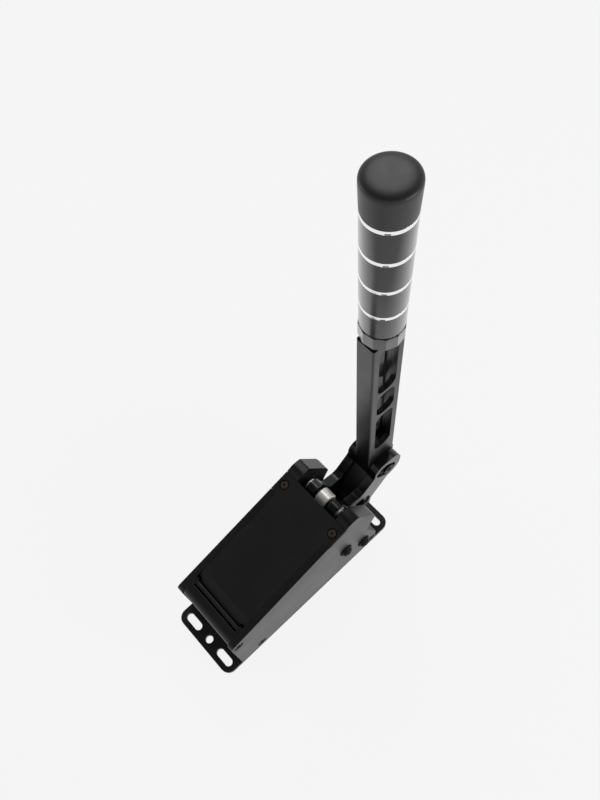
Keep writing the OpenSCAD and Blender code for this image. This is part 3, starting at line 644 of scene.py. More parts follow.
def build_wear(name: str) -> Tree:
    """Builds the mask of rubbed edges: where the surface is convex, broken up by a noise."""
    graph, source, result = new_group(name, {"Amount": 0.3}, "Mask")
    convex = graph.ramp(graph.add("ShaderNodeNewGeometry").outputs["Pointiness"], 0.52, 0.6)
    broken = graph.ramp(graph.noise(420.0, 6.0, 0.65), 0.42, 0.62)
    worn = graph.math("MULTIPLY", convex, broken)
    graph.tree.links.new(graph.math("MULTIPLY", worn, source["Amount"]), result)
    return graph.tree


def build_marks(name: str) -> Tree:
    """Builds the faint cloudy marks that hands and cloths leave, from a slow and a quicker noise."""
    graph, source, result = new_group(name, {"Scale": 30.0}, "Mask")
    slow = graph.noise(source["Scale"])
    quick = graph.noise(graph.math("MULTIPLY", source["Scale"], 6.0), 4.0, 0.6)
    both = graph.math("ADD", graph.math("MULTIPLY", slow, 0.7), graph.math("MULTIPLY", quick, 0.3))
    graph.tree.links.new(graph.ramp(both, 0.3, 0.7), result)
    return graph.tree


EFFECT_BUILDERS: dict[Effect, Callable[[str], Tree]] = {
    Effect.GRAIN: build_grain,
    Effect.LINES: build_lines,
    Effect.WEAR: build_wear,
    Effect.MARKS: build_marks,
}


@dataclass(frozen=True)
class Finish:
    """How a surface looks.

    Attributes:
        slot: The record's slot for it.
        colour: Linear base colour.
        metallic: 0 for a coating or plastic, 1 for bare metal, between them for blasted metal.
        roughness: Middle roughness.
        specular: Strength of the mirror part.
        coat: Weight of a clear coat.
        grain: Size of the surface's grain, in millimetres.
        grain_depth: Depth of the grain, in millimetres.
        line_pitch: Distance of turning lines in millimetres, or 0 for none.
        line_depth: Depth of the turning lines, in millimetres.
        wear: Share of bare metal on rubbed edges.
        worn: Colour of the rubbed edges.
        marks: How far handling marks change the roughness.
        mottle: How far the colour varies, as a share of it.
        painted_grazing_sheen: Grey that the colour is painted towards where the surface is seen at a low
            angle, a painted sheen, or 0 to leave it.
    """

    slot: Slot
    colour: Vec
    metallic: float
    roughness: float
    specular: float = 0.5
    coat: float = 0.0
    grain: float = 0.35
    grain_depth: float = 0.004
    line_pitch: float = 0.0
    line_depth: float = 0.0
    wear: float = 0.0
    worn: Vec = (0.32, 0.32, 0.33)
    marks: float = 0.06
    mottle: float = 0.12
    painted_grazing_sheen: float = 0.0

    def height(self, graph: Graph) -> Socket:
        """Returns the surface's fine relief in millimetres."""
        grain = graph.effect(Effect.GRAIN, Scale=1 / (self.grain * MM), Depth=self.grain_depth)
        if not self.line_pitch:
            return grain
        lines = graph.effect(Effect.LINES, Pitch=self.line_pitch * MM, Depth=self.line_depth)
        return graph.math("ADD", grain, lines)

    def shade(self, change: float) -> tuple[float, ...]:
        """Returns the finish's colour made lighter or darker by a share."""
        return tuple(min(part * (1 + change), 1.0) for part in self.colour) + (1.0,)

    def material(self) -> bpy.types.Material:
        """Returns the finish's material, built the first time it is asked for."""
        name = f"{self.slot.value}_finish"
        made = bpy.data.materials.get(name)
        if made:
            return made
        material = bpy.data.materials.new(name)
        material.use_nodes = True
        graph = Graph(material.node_tree)
        marks = graph.effect(Effect.MARKS)
        colour = graph.blend(marks, self.shade(-self.mottle), self.shade(self.mottle))
        if self.wear:
            colour = graph.blend(graph.effect(Effect.WEAR, Amount=self.wear), colour, self.worn + (1.0,))
        # Painted sheen: the colour turns towards a light grey where the surface is seen at a low angle.
        if self.painted_grazing_sheen:
            low_angle = graph.add("ShaderNodeLayerWeight", {"Blend": 0.5}).outputs["Facing"]
            colour = graph.blend(graph.ramp(low_angle, 0.45, 0.85), colour, grey(self.painted_grazing_sheen))
        rough = graph.ramp(marks, 0.0, 1.0, self.roughness - self.marks, self.roughness + self.marks)
        relief = graph.add("ShaderNodeBump", {"Strength": 1.0, "Distance": MM, "Height": self.height(graph)})
        inputs = {
            "Base Color": colour,
            "Metallic": self.metallic,
            "Roughness": rough,
            "Specular IOR Level": self.specular,
            "Coat Weight": self.coat,
            "Coat Roughness": 0.2,
            "Normal": relief.outputs[0],
        }
        shader = graph.add("ShaderNodeBsdfPrincipled", inputs)
        graph.add("ShaderNodeOutputMaterial", {"Surface": shader.outputs[0]})
        return material


PLATE_BLACK = Finish(Slot.PLATE, (0.012, 0.012, 0.013), 0.0, 0.42, specular=0.4, grain=0.3, wear=0.02)
ANODISED_BLACK = Finish(
    Slot.ANODISED, (0.01, 0.01, 0.0105), 0.0, 0.36, specular=0.27, grain=0.25, wear=0.012, marks=0.035
)
COVER_BLACK = Finish(
    Slot.COVER, (0.02, 0.0203, 0.021), 0.0, 0.5, specular=0.12, grain=0.25, grain_depth=0.003
)
CHEEK_BLACK = Finish(
    Slot.CHEEK, (0.005, 0.0056, 0.0068), 0.0, 0.26, specular=0.4, grain=0.3, wear=0.015, marks=0.02
)
BAR_BLACK = Finish(
    Slot.BAR, (0.006, 0.006, 0.0063), 0.0, 0.38, specular=0.45, grain=0.3, wear=0.015, marks=0.04
)
# The satin grip carries a painted sheen: its colour turns light grey where it is seen at a low angle.
GRIP_SATIN = Finish(
    Slot.GRIP, (0.06, 0.06, 0.061), 1.0, 0.24, grain=0.3, grain_depth=0.002,
    line_pitch=0.22, line_depth=0.0012, mottle=0.06, painted_grazing_sheen=0.42,
)
CAP_BLACK = Finish(
    Slot.CAP, (0.027, 0.027, 0.0285), 0.0, 0.38, specular=0.36, grain=0.3, grain_depth=0.002,
    line_pitch=0.25, line_depth=0.001,
)
CORE_ALUMINIUM = Finish(Slot.CORE, (0.6, 0.6, 0.61), 1.0, 0.35, line_pitch=0.3, line_depth=0.003)
RING_BRIGHT = Finish(
    Slot.RING, (0.93, 0.93, 0.94), 1.0, 0.22, grain_depth=0.001,
    line_pitch=0.15, line_depth=0.001, marks=0.04, mottle=0.02,
)
SCREW_BRONZE = Finish(
    Slot.BRONZE_SCREW, (0.062, 0.038, 0.028), 0.6, 0.4, grain=0.2, line_pitch=0.3, line_depth=0.003, wear=0.3
)
BOLT_BLACK = Finish(Slot.BOLT, (0.004, 0.004, 0.0044), 0.0, 0.42, specular=0.12, grain=0.2, wear=0.04)
DARK_STEEL = Finish(
    Slot.DARK_STEEL, (0.02, 0.02, 0.021), 0.5, 0.4, grain=0.25, line_pitch=0.3, line_depth=0.002, wear=0.2
)
BRIGHT_STEEL = Finish(
    Slot.BRIGHT_STEEL, (0.88, 0.85, 0.8), 0.55, 0.36, grain=0.4, grain_depth=0.0015,
    line_pitch=0.3, line_depth=0.0015, mottle=0.05,
)
BUSH_BRONZE = Finish(Slot.BUSH, (0.55, 0.36, 0.18), 1.0, 0.42, grain=0.2, grain_depth=0.008)
URETHANE = Finish(Slot.URETHANE, (0.55, 0.16, 0.05), 0.0, 0.45, grain=0.5, grain_depth=0.003)
BOARD_GREEN = Finish(Slot.BOARD, (0.02, 0.16, 0.07), 0.0, 0.35, coat=0.4, grain=0.8, mottle=0.3)
CHIP_BLACK = Finish(Slot.CHIP, (0.02, 0.02, 0.021), 0.0, 0.55, grain=0.15, grain_depth=0.006)


# Common parts


def fit(piece: Piece, finish: Finish, *nodes: str) -> Piece:
    """Gives a piece its finish and its body, hides the CAD nodes that it stands for, and reports it.

    Args:
        piece: The piece, in place.
        finish: Its finish.
        *nodes: The CAD nodes it replaces. It rides on the first one's body.

    Returns:
        The same piece.
    """
    piece.data.materials.clear()
    piece.data.materials.append(finish.material())
    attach(piece, frame["nodes"][nodes[0]]["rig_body"])
    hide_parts(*nodes)
    faces = len(piece.data.polygons)
    log.info("%s for %s, %d faces, %s", piece.name, ", ".join(nodes), faces, finish.slot.value)
    return piece


def piston_slide() -> dict:
    """Returns the frame's joint that the piston moves on."""
    return next(joint for joint in frame["joints"] if joint["name"] == "piston_slide")


def across_axis(solid: Solid, sign: float = 1.0, start: float | None = None) -> Axis:
    """Returns the axis of a round solid that lies across the base.

    Args:
        solid: The solid.
        sign: 1 for an axis towards +X, -1 for one towards -X.
        start: The x of the origin, by default the solid's end that the axis leaves from.

    Returns:
        The axis.
    """
    x = start if start is not None else (solid.low[0] if sign > 0 else solid.high[0])
    return Axis((x, solid.centre[1], solid.centre[2]), (sign, 0.0, 0.0), (0.0, 0.0, 1.0))


def outward_axis(solid: Solid) -> Axis:
    """Returns an axis across the base, away from its middle and from the solid's inner end."""
    return across_axis(solid, float(np.sign(solid.centre[0])))


def head_axis(solid: Solid, head_h: float = 0.0) -> Axis:
    """Returns the axis of a bolt from a side of the base, from a height below its head's top."""
    sign = float(np.sign(solid.centre[0]))
    outer = solid.high[0] if sign > 0 else solid.low[0]
    return across_axis(solid, sign, outer - sign * head_h)


def right_axis(solid: Solid) -> Axis:
    """Returns the axis of a bolt through the middle, from its head's top on the +X side."""
    return across_axis(solid, 1.0, solid.high[0])


class Part(ABC):
    """A kind of turned part, which takes its main sizes from the CAD solid that it stands for."""

    @abstractmethod
    def surface(self, gauge: Gauge) -> Surface:
        """Returns the part for a measured solid, turned about the axis it is measured on."""


@dataclass(frozen=True)
class SocketScrew(Part):
    """A screw with a hexagonal socket, on an axis out of its head whose height 0 is the head's top.

    Attributes:
        head_h: Height of the head.
        socket_r: Radius of the socket over its corners.
        edge: Rounding of the head's outer edge.
        shank_r: Radius of the shank, or 0 to take the solid's.
        knurls: Ridges round the head, or 0.
        groove: Depth of the grooves between the ridges.
        depth: Depth of the socket, as a share of the head's height.
        drill: Depth of the socket's cone below its floor, as a share of its radius.
    """

    head_h: float
    socket_r: float
    edge: float
    shank_r: float = 0.0
    knurls: int = 0
    groove: float = 0.22
    depth: float = 0.62
    drill: float = 0.3

    def surface(self, gauge: Gauge) -> Surface:
        """Returns the screw with the solid's length and head radius."""
        tip, head_r = gauge.start, gauge.outer
        shank_r = self.shank_r or gauge.widest(high=tip + 2)
        floor = -self.depth * self.head_h
        rows = hex_socket(self.socket_r, floor - self.drill * self.socket_r, floor, -0.18) + [
            (self.socket_r + 0.15, 0), (head_r - 0.02, 0, self.edge), (head_r, -self.head_h, 0.08),
            (shank_r, -self.head_h), (shank_r, tip + 0.5), (shank_r - 0.45, tip), (0, tip),
        ]
        if not self.knurls:
            return turned(rows, gauge.axis, SCREW_FACETS)
        ridges = grooved(self.groove, head_r - 0.1, 0.05 - self.head_h, -self.edge, self.knurls)
        return turned(rows, gauge.axis, HEX * self.knurls, carve=ridges)


@dataclass(frozen=True)
class CountersunkScrew(Part):
    """A countersunk screw, on an axis from its head's face to its tip."""

    screw_r: float = 2.5
    socket_r: float = 1.6
    depth: float = 1.6

    def surface(self, gauge: Gauge) -> Surface:
        """Returns the screw with the solid's length and head radius."""
        tip, head_r = gauge.end, gauge.outer
        rows = hex_socket(self.socket_r, self.depth + 0.4, self.depth, 0) + [
            (head_r - 0.1, 0, 0.05), (head_r, 0.15, 0.05), (self.screw_r, head_r - self.screw_r),
            (self.screw_r, tip - 0.6), (self.screw_r - 0.5, tip), (0, tip),
        ]
        return turned(rows, gauge.axis, SCREW_FACETS)


@dataclass(frozen=True)
class FlangedBolt(Part):
    """A button-head bolt on a round flange that rests on the plane at height 0."""

    head_h: float = 4.0
    shank_r: float = 3.0
    flange_h: float = 1.2
    socket_r: float = 2.5
    depth: float = 2.4

    def surface(self, gauge: Gauge) -> Surface:
        """Returns the bolt with the solid's length and flange radius."""
        top, tip, flange_r = self.head_h, gauge.start, gauge.outer
        floor = top - self.depth
        rows = hex_socket(self.socket_r, floor - 0.5, floor, top - 0.25) + [
            (self.socket_r + 0.25, top), (flange_r - 2.5, top, 1.6),
            (flange_r - 1.1, self.flange_h + 0.2, 0.25), (flange_r - 0.25, self.flange_h, 0.15),
            (flange_r, self.flange_h - 0.35, 0.2), (flange_r, 0.0, 0.12), (self.shank_r, 0.0),
            (self.shank_r, tip + 0.6), (self.shank_r - 0.5, tip), (0, tip),
        ]
        return turned(rows, gauge.axis)


@dataclass(frozen=True)
class HexNut(Part):
    """A nut with chamfered faces and bore."""

    chamfer: float = 0.35

    def surface(self, gauge: Gauge) -> Surface:
        """Returns the nut with the solid's height, corner radius and bore."""
        start, end, corner, bore = gauge.start, gauge.end, gauge.outer, gauge.bore
        flat = corner * math.cos(math.pi / HEX)
        drop = (corner - flat) * 0.6
        face = [(bore + self.chamfer, start), (corner, start, 0, HEX, flat - 0.15)]
        face += [(corner, start + drop, 0, HEX)]
        rows = both_ends(face, start, end) + [(bore, end - self.chamfer), (bore, start + self.chamfer)]
        return turned(rows, gauge.axis, ring=True)


@dataclass(frozen=True)
class PlainRing(Part):
    """A ring with rounded edges."""

    edge: float

    def surface(self, gauge: Gauge) -> Surface:
        """Returns the ring with the solid's height, radius and bore."""
        inner = min(self.edge, (gauge.outer - gauge.bore) * 0.3)
        face = [(gauge.bore, gauge.start, inner), (gauge.outer, gauge.start, self.edge)]
        return turned(both_ends(face, gauge.start, gauge.end), gauge.axis, ring=True)


@dataclass(frozen=True)
class RoundBar(Part):
    """A bar with chamfered ends and a shallow centre mark in each end."""

    edge: float

    def surface(self, gauge: Gauge) -> Surface:
        """Returns the bar with the solid's length and radius."""
        start, radius = gauge.start, gauge.outer
        dip, soft = min(0.8, radius / 4), self.edge / 4
        face = [(0, start + dip), (dip, start)]
        face += [(radius - self.edge, start, soft), (radius, start + self.edge, soft)]
        return turned(both_ends(face, start, gauge.end), gauge.axis, ROD_FACETS)


@dataclass(frozen=True)
class FlangedBush(Part):
    """A bush with a flange at the far end of its axis."""

    flange_h: float = 1.2

    def surface(self, gauge: Gauge) -> Surface:
        """Returns the bush with the solid's length, radii and bore."""
        body, face = gauge.widest(high=1.0), gauge.end - self.flange_h
        rows = [
            (gauge.bore, 0, 0.2), (body, 0, 0.4), (body, face), (gauge.outer, face, 0.2),
            (gauge.outer, gauge.end, 0.3), (gauge.bore, gauge.end, 0.2),
        ]
        return turned(rows, gauge.axis, ring=True)


class SubAssembly(ABC):
    """A group of pieces that is built and dressed together."""

    @abstractmethod
    def build(self) -> None:
        """Builds every piece of the group."""

    @staticmethod
    def machined(node: str, width: float, finish: Finish, segments: int = 3) -> Piece:
        """Stands in for a machined CAD node with its deburred copy."""
        return fit(softened(node, width, segments), finish, node)

    @staticmethod
    def parts(
        node: str, part: Part, finish: Finish, axis_of: Callable[[Solid], Axis] = across_axis, name: str = ""
    ) -> Piece:
        """Stands in for a CAD node with a turned part for each of its solids.

        Args:
            node: Name of the CAD node.
            part: The kind of part.
            finish: Its finish.
            axis_of: Returns the axis of a solid.
            name: Name of the piece, by default the node's with _turned.

        Returns:
            The piece.
        """
        surfaces = [part.surface(Gauge(solid, axis_of(solid))) for solid in solids(node)]
        return fit(as_piece(name or f"{node}_turned", joined(surfaces)), finish, node)


class Column(SubAssembly):
    """A group whose pieces stand on one axis."""

    @abstractmethod
    def axis(self) -> Axis:
        """Returns the axis that the pieces share."""

    def axis_of(self, _: Solid) -> Axis:
        """Returns the shared axis for any solid."""
        return self.axis()

    def gauge(self, node: str) -> Gauge:
        """Returns a CAD node's solid measured on the shared axis."""
        return Gauge(solids(node)[0], self.axis())

    def lathe(
        self, node: str, finish: Finish, rows: list[tuple], steps: int = FACETS, ring: bool = False,
        carve: Carve | None = None,
    ) -> Piece:
        """Stands in for a CAD node with one profile turned about the shared axis.

        Args:
            node: Name of the CAD node.
            finish: Its finish.
            rows: Corners of the profile, in order along it.
            steps: Facets round the piece.
            ring: Whether the profile closes on itself.
            carve: What cuts into the radii, if anything does.

        Returns:
            The piece.
        """
        surface = turned(rows, self.axis(), steps, ring, carve)
        return fit(as_piece(f"{node}_turned", surface), finish, node)


# The handbrake


@dataclass
class Base(SubAssembly):
    """The slotted base plate and the screws that come up through it."""

    plate_edge: float = 0.5

    def build(self) -> None:
        """Builds the plate and its screws."""
        self.machined("base_plate", self.plate_edge, PLATE_BLACK)
        self.parts("base_screws", CountersunkScrew(), BOLT_BLACK, self.screw_axis, "countersunk_screws")

    @staticmethod
    def screw_axis(solid: Solid) -> Axis:
        """Returns the axis of a screw with its head down."""
        return Axis((solid.centre[0], solid.centre[1], solid.low[2]))


@dataclass
class Housing(SubAssembly):
    """Side plates, cover, end plate, the rod between them, cross pieces and their screws."""

    side_edge: float = 0.2
    cover_edge: float = 0.15
    end_edge: float = 0.2
    block_edge: float = 0.4
    rod: RoundBar = RoundBar(0.5)
    side_screw: SocketScrew = SocketScrew(3.55, 2.1, 0.4, 2.5)
    cover_screw: SocketScrew = SocketScrew(1.65, 1.75, 0.45, 2.0)

    def build(self) -> None:
        """Builds the housing's pieces."""
        for node in ("side_plate_left", "side_plate_right"):
            self.machined(node, self.side_edge, ANODISED_BLACK)
        self.machined("cover", self.cover_edge, COVER_BLACK)
        self.machined("end_plate", self.end_edge, ANODISED_BLACK)
        for node in ("reaction_block", "tube_saddle", "far_cross_bar"):
            self.machined(node, self.block_edge, ANODISED_BLACK)
        self.parts("retaining_rod", self.rod, ANODISED_BLACK)
        self.parts("side_screws", self.side_screw, BOLT_BLACK, head_axis)
        self.parts("cover_screws", self.cover_screw, SCREW_BRONZE, self.cover_axis)

    @staticmethod
    def cover_axis(solid: Solid) -> Axis:
        """Returns a screw's axis square to the sloped cover, from the middle of its head's top."""
        _, y, z = piston_slide()["axis"]
        away = (0.0, z, -y)
        height, _ = Axis(tuple(solid.centre), away).measure(solid.points)
        top = solid.points[height > height.max() - 0.05]
        return Axis(tuple((top.min(0) + top.max(0)) / 2), away)


@dataclass
class Pivots(SubAssembly):
    """The main pivot, the stop bar and the large bolts that hold both."""

    bolt: FlangedBolt = FlangedBolt()
    bar: PlainRing = PlainRing(0.6)
    bumper: PlainRing = PlainRing(0.8)
    spacer: PlainRing = PlainRing(0.4)

    def build(self) -> None:
        """Builds shafts, spacers, bumper and bolts."""
        for node in ("pivot_bolts", "stop_bolts"):
            self.parts(node, self.bolt, BOLT_BLACK, self.bolt_axis)
        self.parts("pivot_shaft", self.bar, BRIGHT_STEEL)
        self.parts("stop_bar", self.bar, DARK_STEEL)
        self.parts("stop_bumper", self.bumper, URETHANE)
        self.parts("pivot_spacers", self.spacer, BRIGHT_STEEL)

    def bolt_axis(self, solid: Solid) -> Axis:
        """Returns a bolt's axis, from the face of the side plate that its flange rests on."""
        return head_axis(solid, self.bolt.head_h)


@dataclass
class Rocker(SubAssembly):
    """The two cheeks and everything that turns with them.

    Attributes:
        cheek_edge: Rounding of the cheeks' edges.
        clip_edge: Rounding of the pin clips' edges.
        sleeve: The sleeve between the cheeks.
        ring: The pin's washers and spacers.
        pin_edge: Chamfer of the pin's ends.
        groove: Depth of the pin's grooves.
        play: Room at each side of a clip in its groove.
        foot: The bolt that the lever turns on.
    """

    cheek_edge: float = 0.7
    clip_edge: float = 0.15
    sleeve: PlainRing = PlainRing(0.5)
    ring: PlainRing = PlainRing(0.25)
    pin_edge: float = 0.6
    groove: float = 0.8
    play: float = 0.05
    foot: SocketScrew = SocketScrew(4.0, 3.1, 0.6, knurls=40)

    def build(self) -> None:
        """Builds the cheeks, bushes, pin, washers, clips and foot bolt."""
        for node in ("cheek_left", "cheek_right"):
            self.machined(node, self.cheek_edge, CHEEK_BLACK, 4)
        self.parts("pivot_bushes", FlangedBush(), BUSH_BRONZE, outward_axis)
        self.parts("hub_sleeve", self.sleeve, DARK_STEEL)
        self.parts("pin_washers", self.ring, BRIGHT_STEEL)
        self.parts("pin_spacers", self.ring, DARK_STEEL)
        self.machined("pin_clips", self.clip_edge, BRIGHT_STEEL)
        self.build_pin()
        self.parts("foot_bolt", self.foot, BOLT_BLACK, right_axis)
        self.parts("foot_nut", HexNut(), BOLT_BLACK)

    def build_pin(self) -> None:
        """Builds the rod end's pin with a groove at each end for its clips."""
        solid = solids("clevis_pin")[0]
        pin = Gauge(solid, across_axis(solid))
        clip = Gauge(solids("pin_clips")[-1], across_axis(solid, start=0.0))
        low = pin.end / 2 - clip.end - self.play
        high = pin.end / 2 - clip.start + self.play
        radius, waist = pin.outer, pin.outer - self.groove
        rows = [(0, 0.4), (0.8, 0), (radius - self.pin_edge, 0, 0.15), (radius, self.pin_edge, 0.15)]
        rows += [(radius, low), (waist, low), (waist, high), (radius, high)]
        surface = turned(both_ends(rows, pin.start, pin.end), pin.axis, SCREW_FACETS)
        fit(as_piece("clevis_pin_turned", surface), BRIGHT_STEEL, "clevis_pin")


@dataclass
class Lever(SubAssembly):
    """The windowed lever bar and the clamp that sets its angle."""

    bar_edge: float = 0.25
    clamp: SocketScrew = SocketScrew(2.1, 2.6, 0.5, knurls=32)
    washer: PlainRing = PlainRing(0.2)

    def build(self) -> None:
        """Builds the bar, the clamp bolt, its washers and its nut."""
        self.machined("lever_bar", self.bar_edge, BAR_BLACK)
        self.parts("clamp_bolt", self.clamp, BOLT_BLACK, right_axis)
        self.parts("clamp_washers", self.washer, DARK_STEEL)
        self.parts("clamp_nut", HexNut(), BOLT_BLACK)


@dataclass
class Grip(Column):
    """Stud, twelve-sided collar, core, four sleeves, four bright rings and cap.

    Attributes:
        steps: Facets round the grip.
        count: Number of sleeves and of rings.
        sleeve_edge: Rounding at a sleeve's ends.
        notch_turn: Direction of the rings' notches, in degrees.
        notch_half: Half width of a notch, in millimetres.
        notch_low: Where a notch starts above the ring's lower face.
        notch_high: Where a notch ends.
        notch_depth: Depth of a notch.
        notch_inner: Radius outside which a notch is cut, between the ring's bore and its face.
        cap_edge: Height of the cap's domed top.
        dome: Power of the dome's superellipse, below 1 for a flatter top.
        collar_sides: Sides of the collar.
        collar_turn: Direction of one of the collar's corners, in degrees.
        core_depth: Depth of the core's bore.
        fit_gap: Room between the cap and the core.
    """

    steps: int = 192
    count: int = 4
    sleeve_edge: float = 0.35
    notch_turn: float = -48.0
    notch_half: float = 1.35
    notch_low: float = 0.25
    notch_high: float = 1.15
    notch_depth: float = 1.0
    notch_inner: float = 13.0
    cap_edge: float = 5.2
    dome: float = 0.45
    collar_sides: int = 12
    collar_turn: float = -6.0
    core_depth: float = 28.0
    fit_gap: float = 0.03

    def axis(self) -> Axis:
        """Returns the grip's axis, with heights from the underside of the base."""
        centre = solids("lock_collar")[0].centre
        return Axis((0.0, float(centre[1]), 0.0))

    def build(self) -> None:
        """Builds the grip from the bar up."""
        self.build_stud()
        self.build_collar()
        self.build_core()
        for number in range(1, self.count + 1):
            self.build_sleeve(f"grip_sleeve_{number}")
            self.build_ring(f"grip_ring_{number}")
        self.build_cap()

    def build_stud(self) -> None:
        """Builds the threaded stud, whose shoulder shows as the dark neck."""
        stud = self.gauge("grip_stud")
        thread = stud.widest(high=stud.start + 1)
        bar_top, collar_low = self.gauge("lever_bar").end, self.gauge("lock_collar").start
        tip = [(0, stud.start), (thread - 0.6, stud.start, 0.1), (thread, stud.start + 0.6, 0.1)]
        neck = [(stud.outer, bar_top, 0.3), (stud.outer, collar_low, 0.3)]
        neck = [(thread, bar_top), *neck, (thread, collar_low)]
        self.lathe("grip_stud", DARK_STEEL, both_ends(tip, stud.start, stud.end, neck), SCREW_FACETS)

    def build_collar(self) -> None:
        """Builds the collar, a polygon whose corners are turned off at both faces."""
        collar = self.gauge("lock_collar")
        corner, start, sides = collar.outer, collar.start, self.collar_sides
        turn = math.radians(self.collar_turn)
        facing = Axis(collar.axis.origin, side=(math.cos(turn), math.sin(turn), 0.0))
        flat = corner * math.cos(math.pi / sides) - 0.3
        face = [(collar.bore, start), (corner, start, 0, sides, flat), (corner, start + 0.5, 0, sides)]
        surface = turned(both_ends(face, start, collar.end), facing, self.steps, ring=True)
        fit(as_piece("lock_collar_cut", surface, 20.0), GRIP_SATIN, "lock_collar")

    def build_core(self) -> None:
        """Builds the turned core inside the sleeves."""
        core = self.gauge("grip_core")
        start, end = core.start, core.end
        foot, body = core.widest(high=start + 0.5), core.widest(low=start + 2)
        bore = core.bore if core.bore > 1 else body / 2
        rows = [
            (0, start + self.core_depth), (bore, start + self.core_depth), (bore, start),
            (foot, start, 0.1), (foot, start + 0.6), (body, start + 0.6), (body, end - 0.5, 0.1),
            (body - 0.5, end, 0.1), (0, end),
        ]
        self.lathe("grip_core", CORE_ALUMINIUM, rows)

    def build_sleeve(self, node: str) -> None:
        """Builds one satin sleeve, slightly wider at its top."""
        sleeve = self.gauge(node)
        rows = [
            (sleeve.bore, sleeve.start),
            (sleeve.widest(high=sleeve.start + 1), sleeve.start, self.sleeve_edge),
            (sleeve.widest(low=sleeve.end - 1), sleeve.end, self.sleeve_edge),
            (sleeve.bore, sleeve.end),
        ]
        self.lathe(node, GRIP_SATIN, rows, self.steps, ring=True)

    def notched(self, start: float) -> Carve:
        """Returns what cuts a ring's notch, for a ring whose lower face is at a height."""

        def cut(radius: Array, angle: Array, height: Array) -> Array:
            """Takes the notch's depth off the outer radius inside the notch's angles and heights."""
            away = (angle - math.radians(self.notch_turn) + math.pi) % math.tau - math.pi
            inside = (np.abs(away) * radius < self.notch_half) & (radius > self.notch_inner)
            inside &= (height > start + self.notch_low) & (height < start + self.notch_high)
            return np.where(inside, radius - self.notch_depth, radius)

        return cut

    def build_ring(self, node: str) -> None:
        """Builds one bright ring with its small notch, whose inside is painted dark as shade."""
        ring = self.gauge(node)
        start, radius, step = ring.start, ring.outer, 0.01
        walls = (start + wall + way for wall in (self.notch_low, self.notch_high) for way in (-step, step))
        rows = [(ring.bore, start), (radius, start, 0.12)]
        rows += [(radius, height) for height in walls]
        rows += [(radius, ring.end, 0.12), (ring.bore, ring.end)]
        piece = self.lathe(node, RING_BRIGHT, rows, RING_FACETS, ring=True, carve=self.notched(start))
        # The second, dark steel material is painted shade for the inside of the notch.
        piece.data.materials.append(DARK_STEEL.material())
        self.paint_notch_shade(piece, ring)

    def paint_notch_shade(self, piece: Piece, ring: Gauge) -> None:
        """Gives the faces inside a ring's notch the second, dark finish, as painted shade in the notch."""
        mesh, play = piece.data, 0.1
        middle = np.zeros(len(mesh.polygons) * 3, np.float32)
        mesh.polygons.foreach_get("center", middle)
        middle = middle.reshape(-1, 3) / MM
        height, away = ring.axis.measure(middle)
        turn = np.arctan2(middle[:, 1] - ring.axis.origin[1], middle[:, 0]) - math.radians(self.notch_turn)
        inside = np.abs(turn) * ring.outer < self.notch_half + play
        inside &= (away > ring.outer - self.notch_depth - 2 * play) & (away < ring.outer - 0.06)
        inside &= height > ring.start + self.notch_low - play
        inside &= height < ring.start + self.notch_high + play
        mesh.polygons.foreach_set("material_index", inside.astype(np.int32))

    def build_cap(self) -> None:
        """Builds the cap, which widens a little towards its rounded top edge."""
        cap, core = self.gauge("grip_cap"), self.gauge("grip_core")
        bore, floor = core.widest(low=core.end - 2) + self.fit_gap, core.end + self.fit_gap
        low = cap.widest(high=cap.start + 1)
        lean = np.linspace(0, math.pi / 2, 25)
        wide = cap.outer * np.cos(lean) ** self.dome
        tall = cap.end - self.cap_edge * (1 - np.sin(lean) ** self.dome)
        rows = [(0, floor), (bore, floor), (bore, cap.start), (low, cap.start, self.sleeve_edge)]
        rows += [(float(radius), float(height)) for radius, height in zip(wide, tall)]
        self.lathe("grip_cap", CAP_BLACK, rows, self.steps)


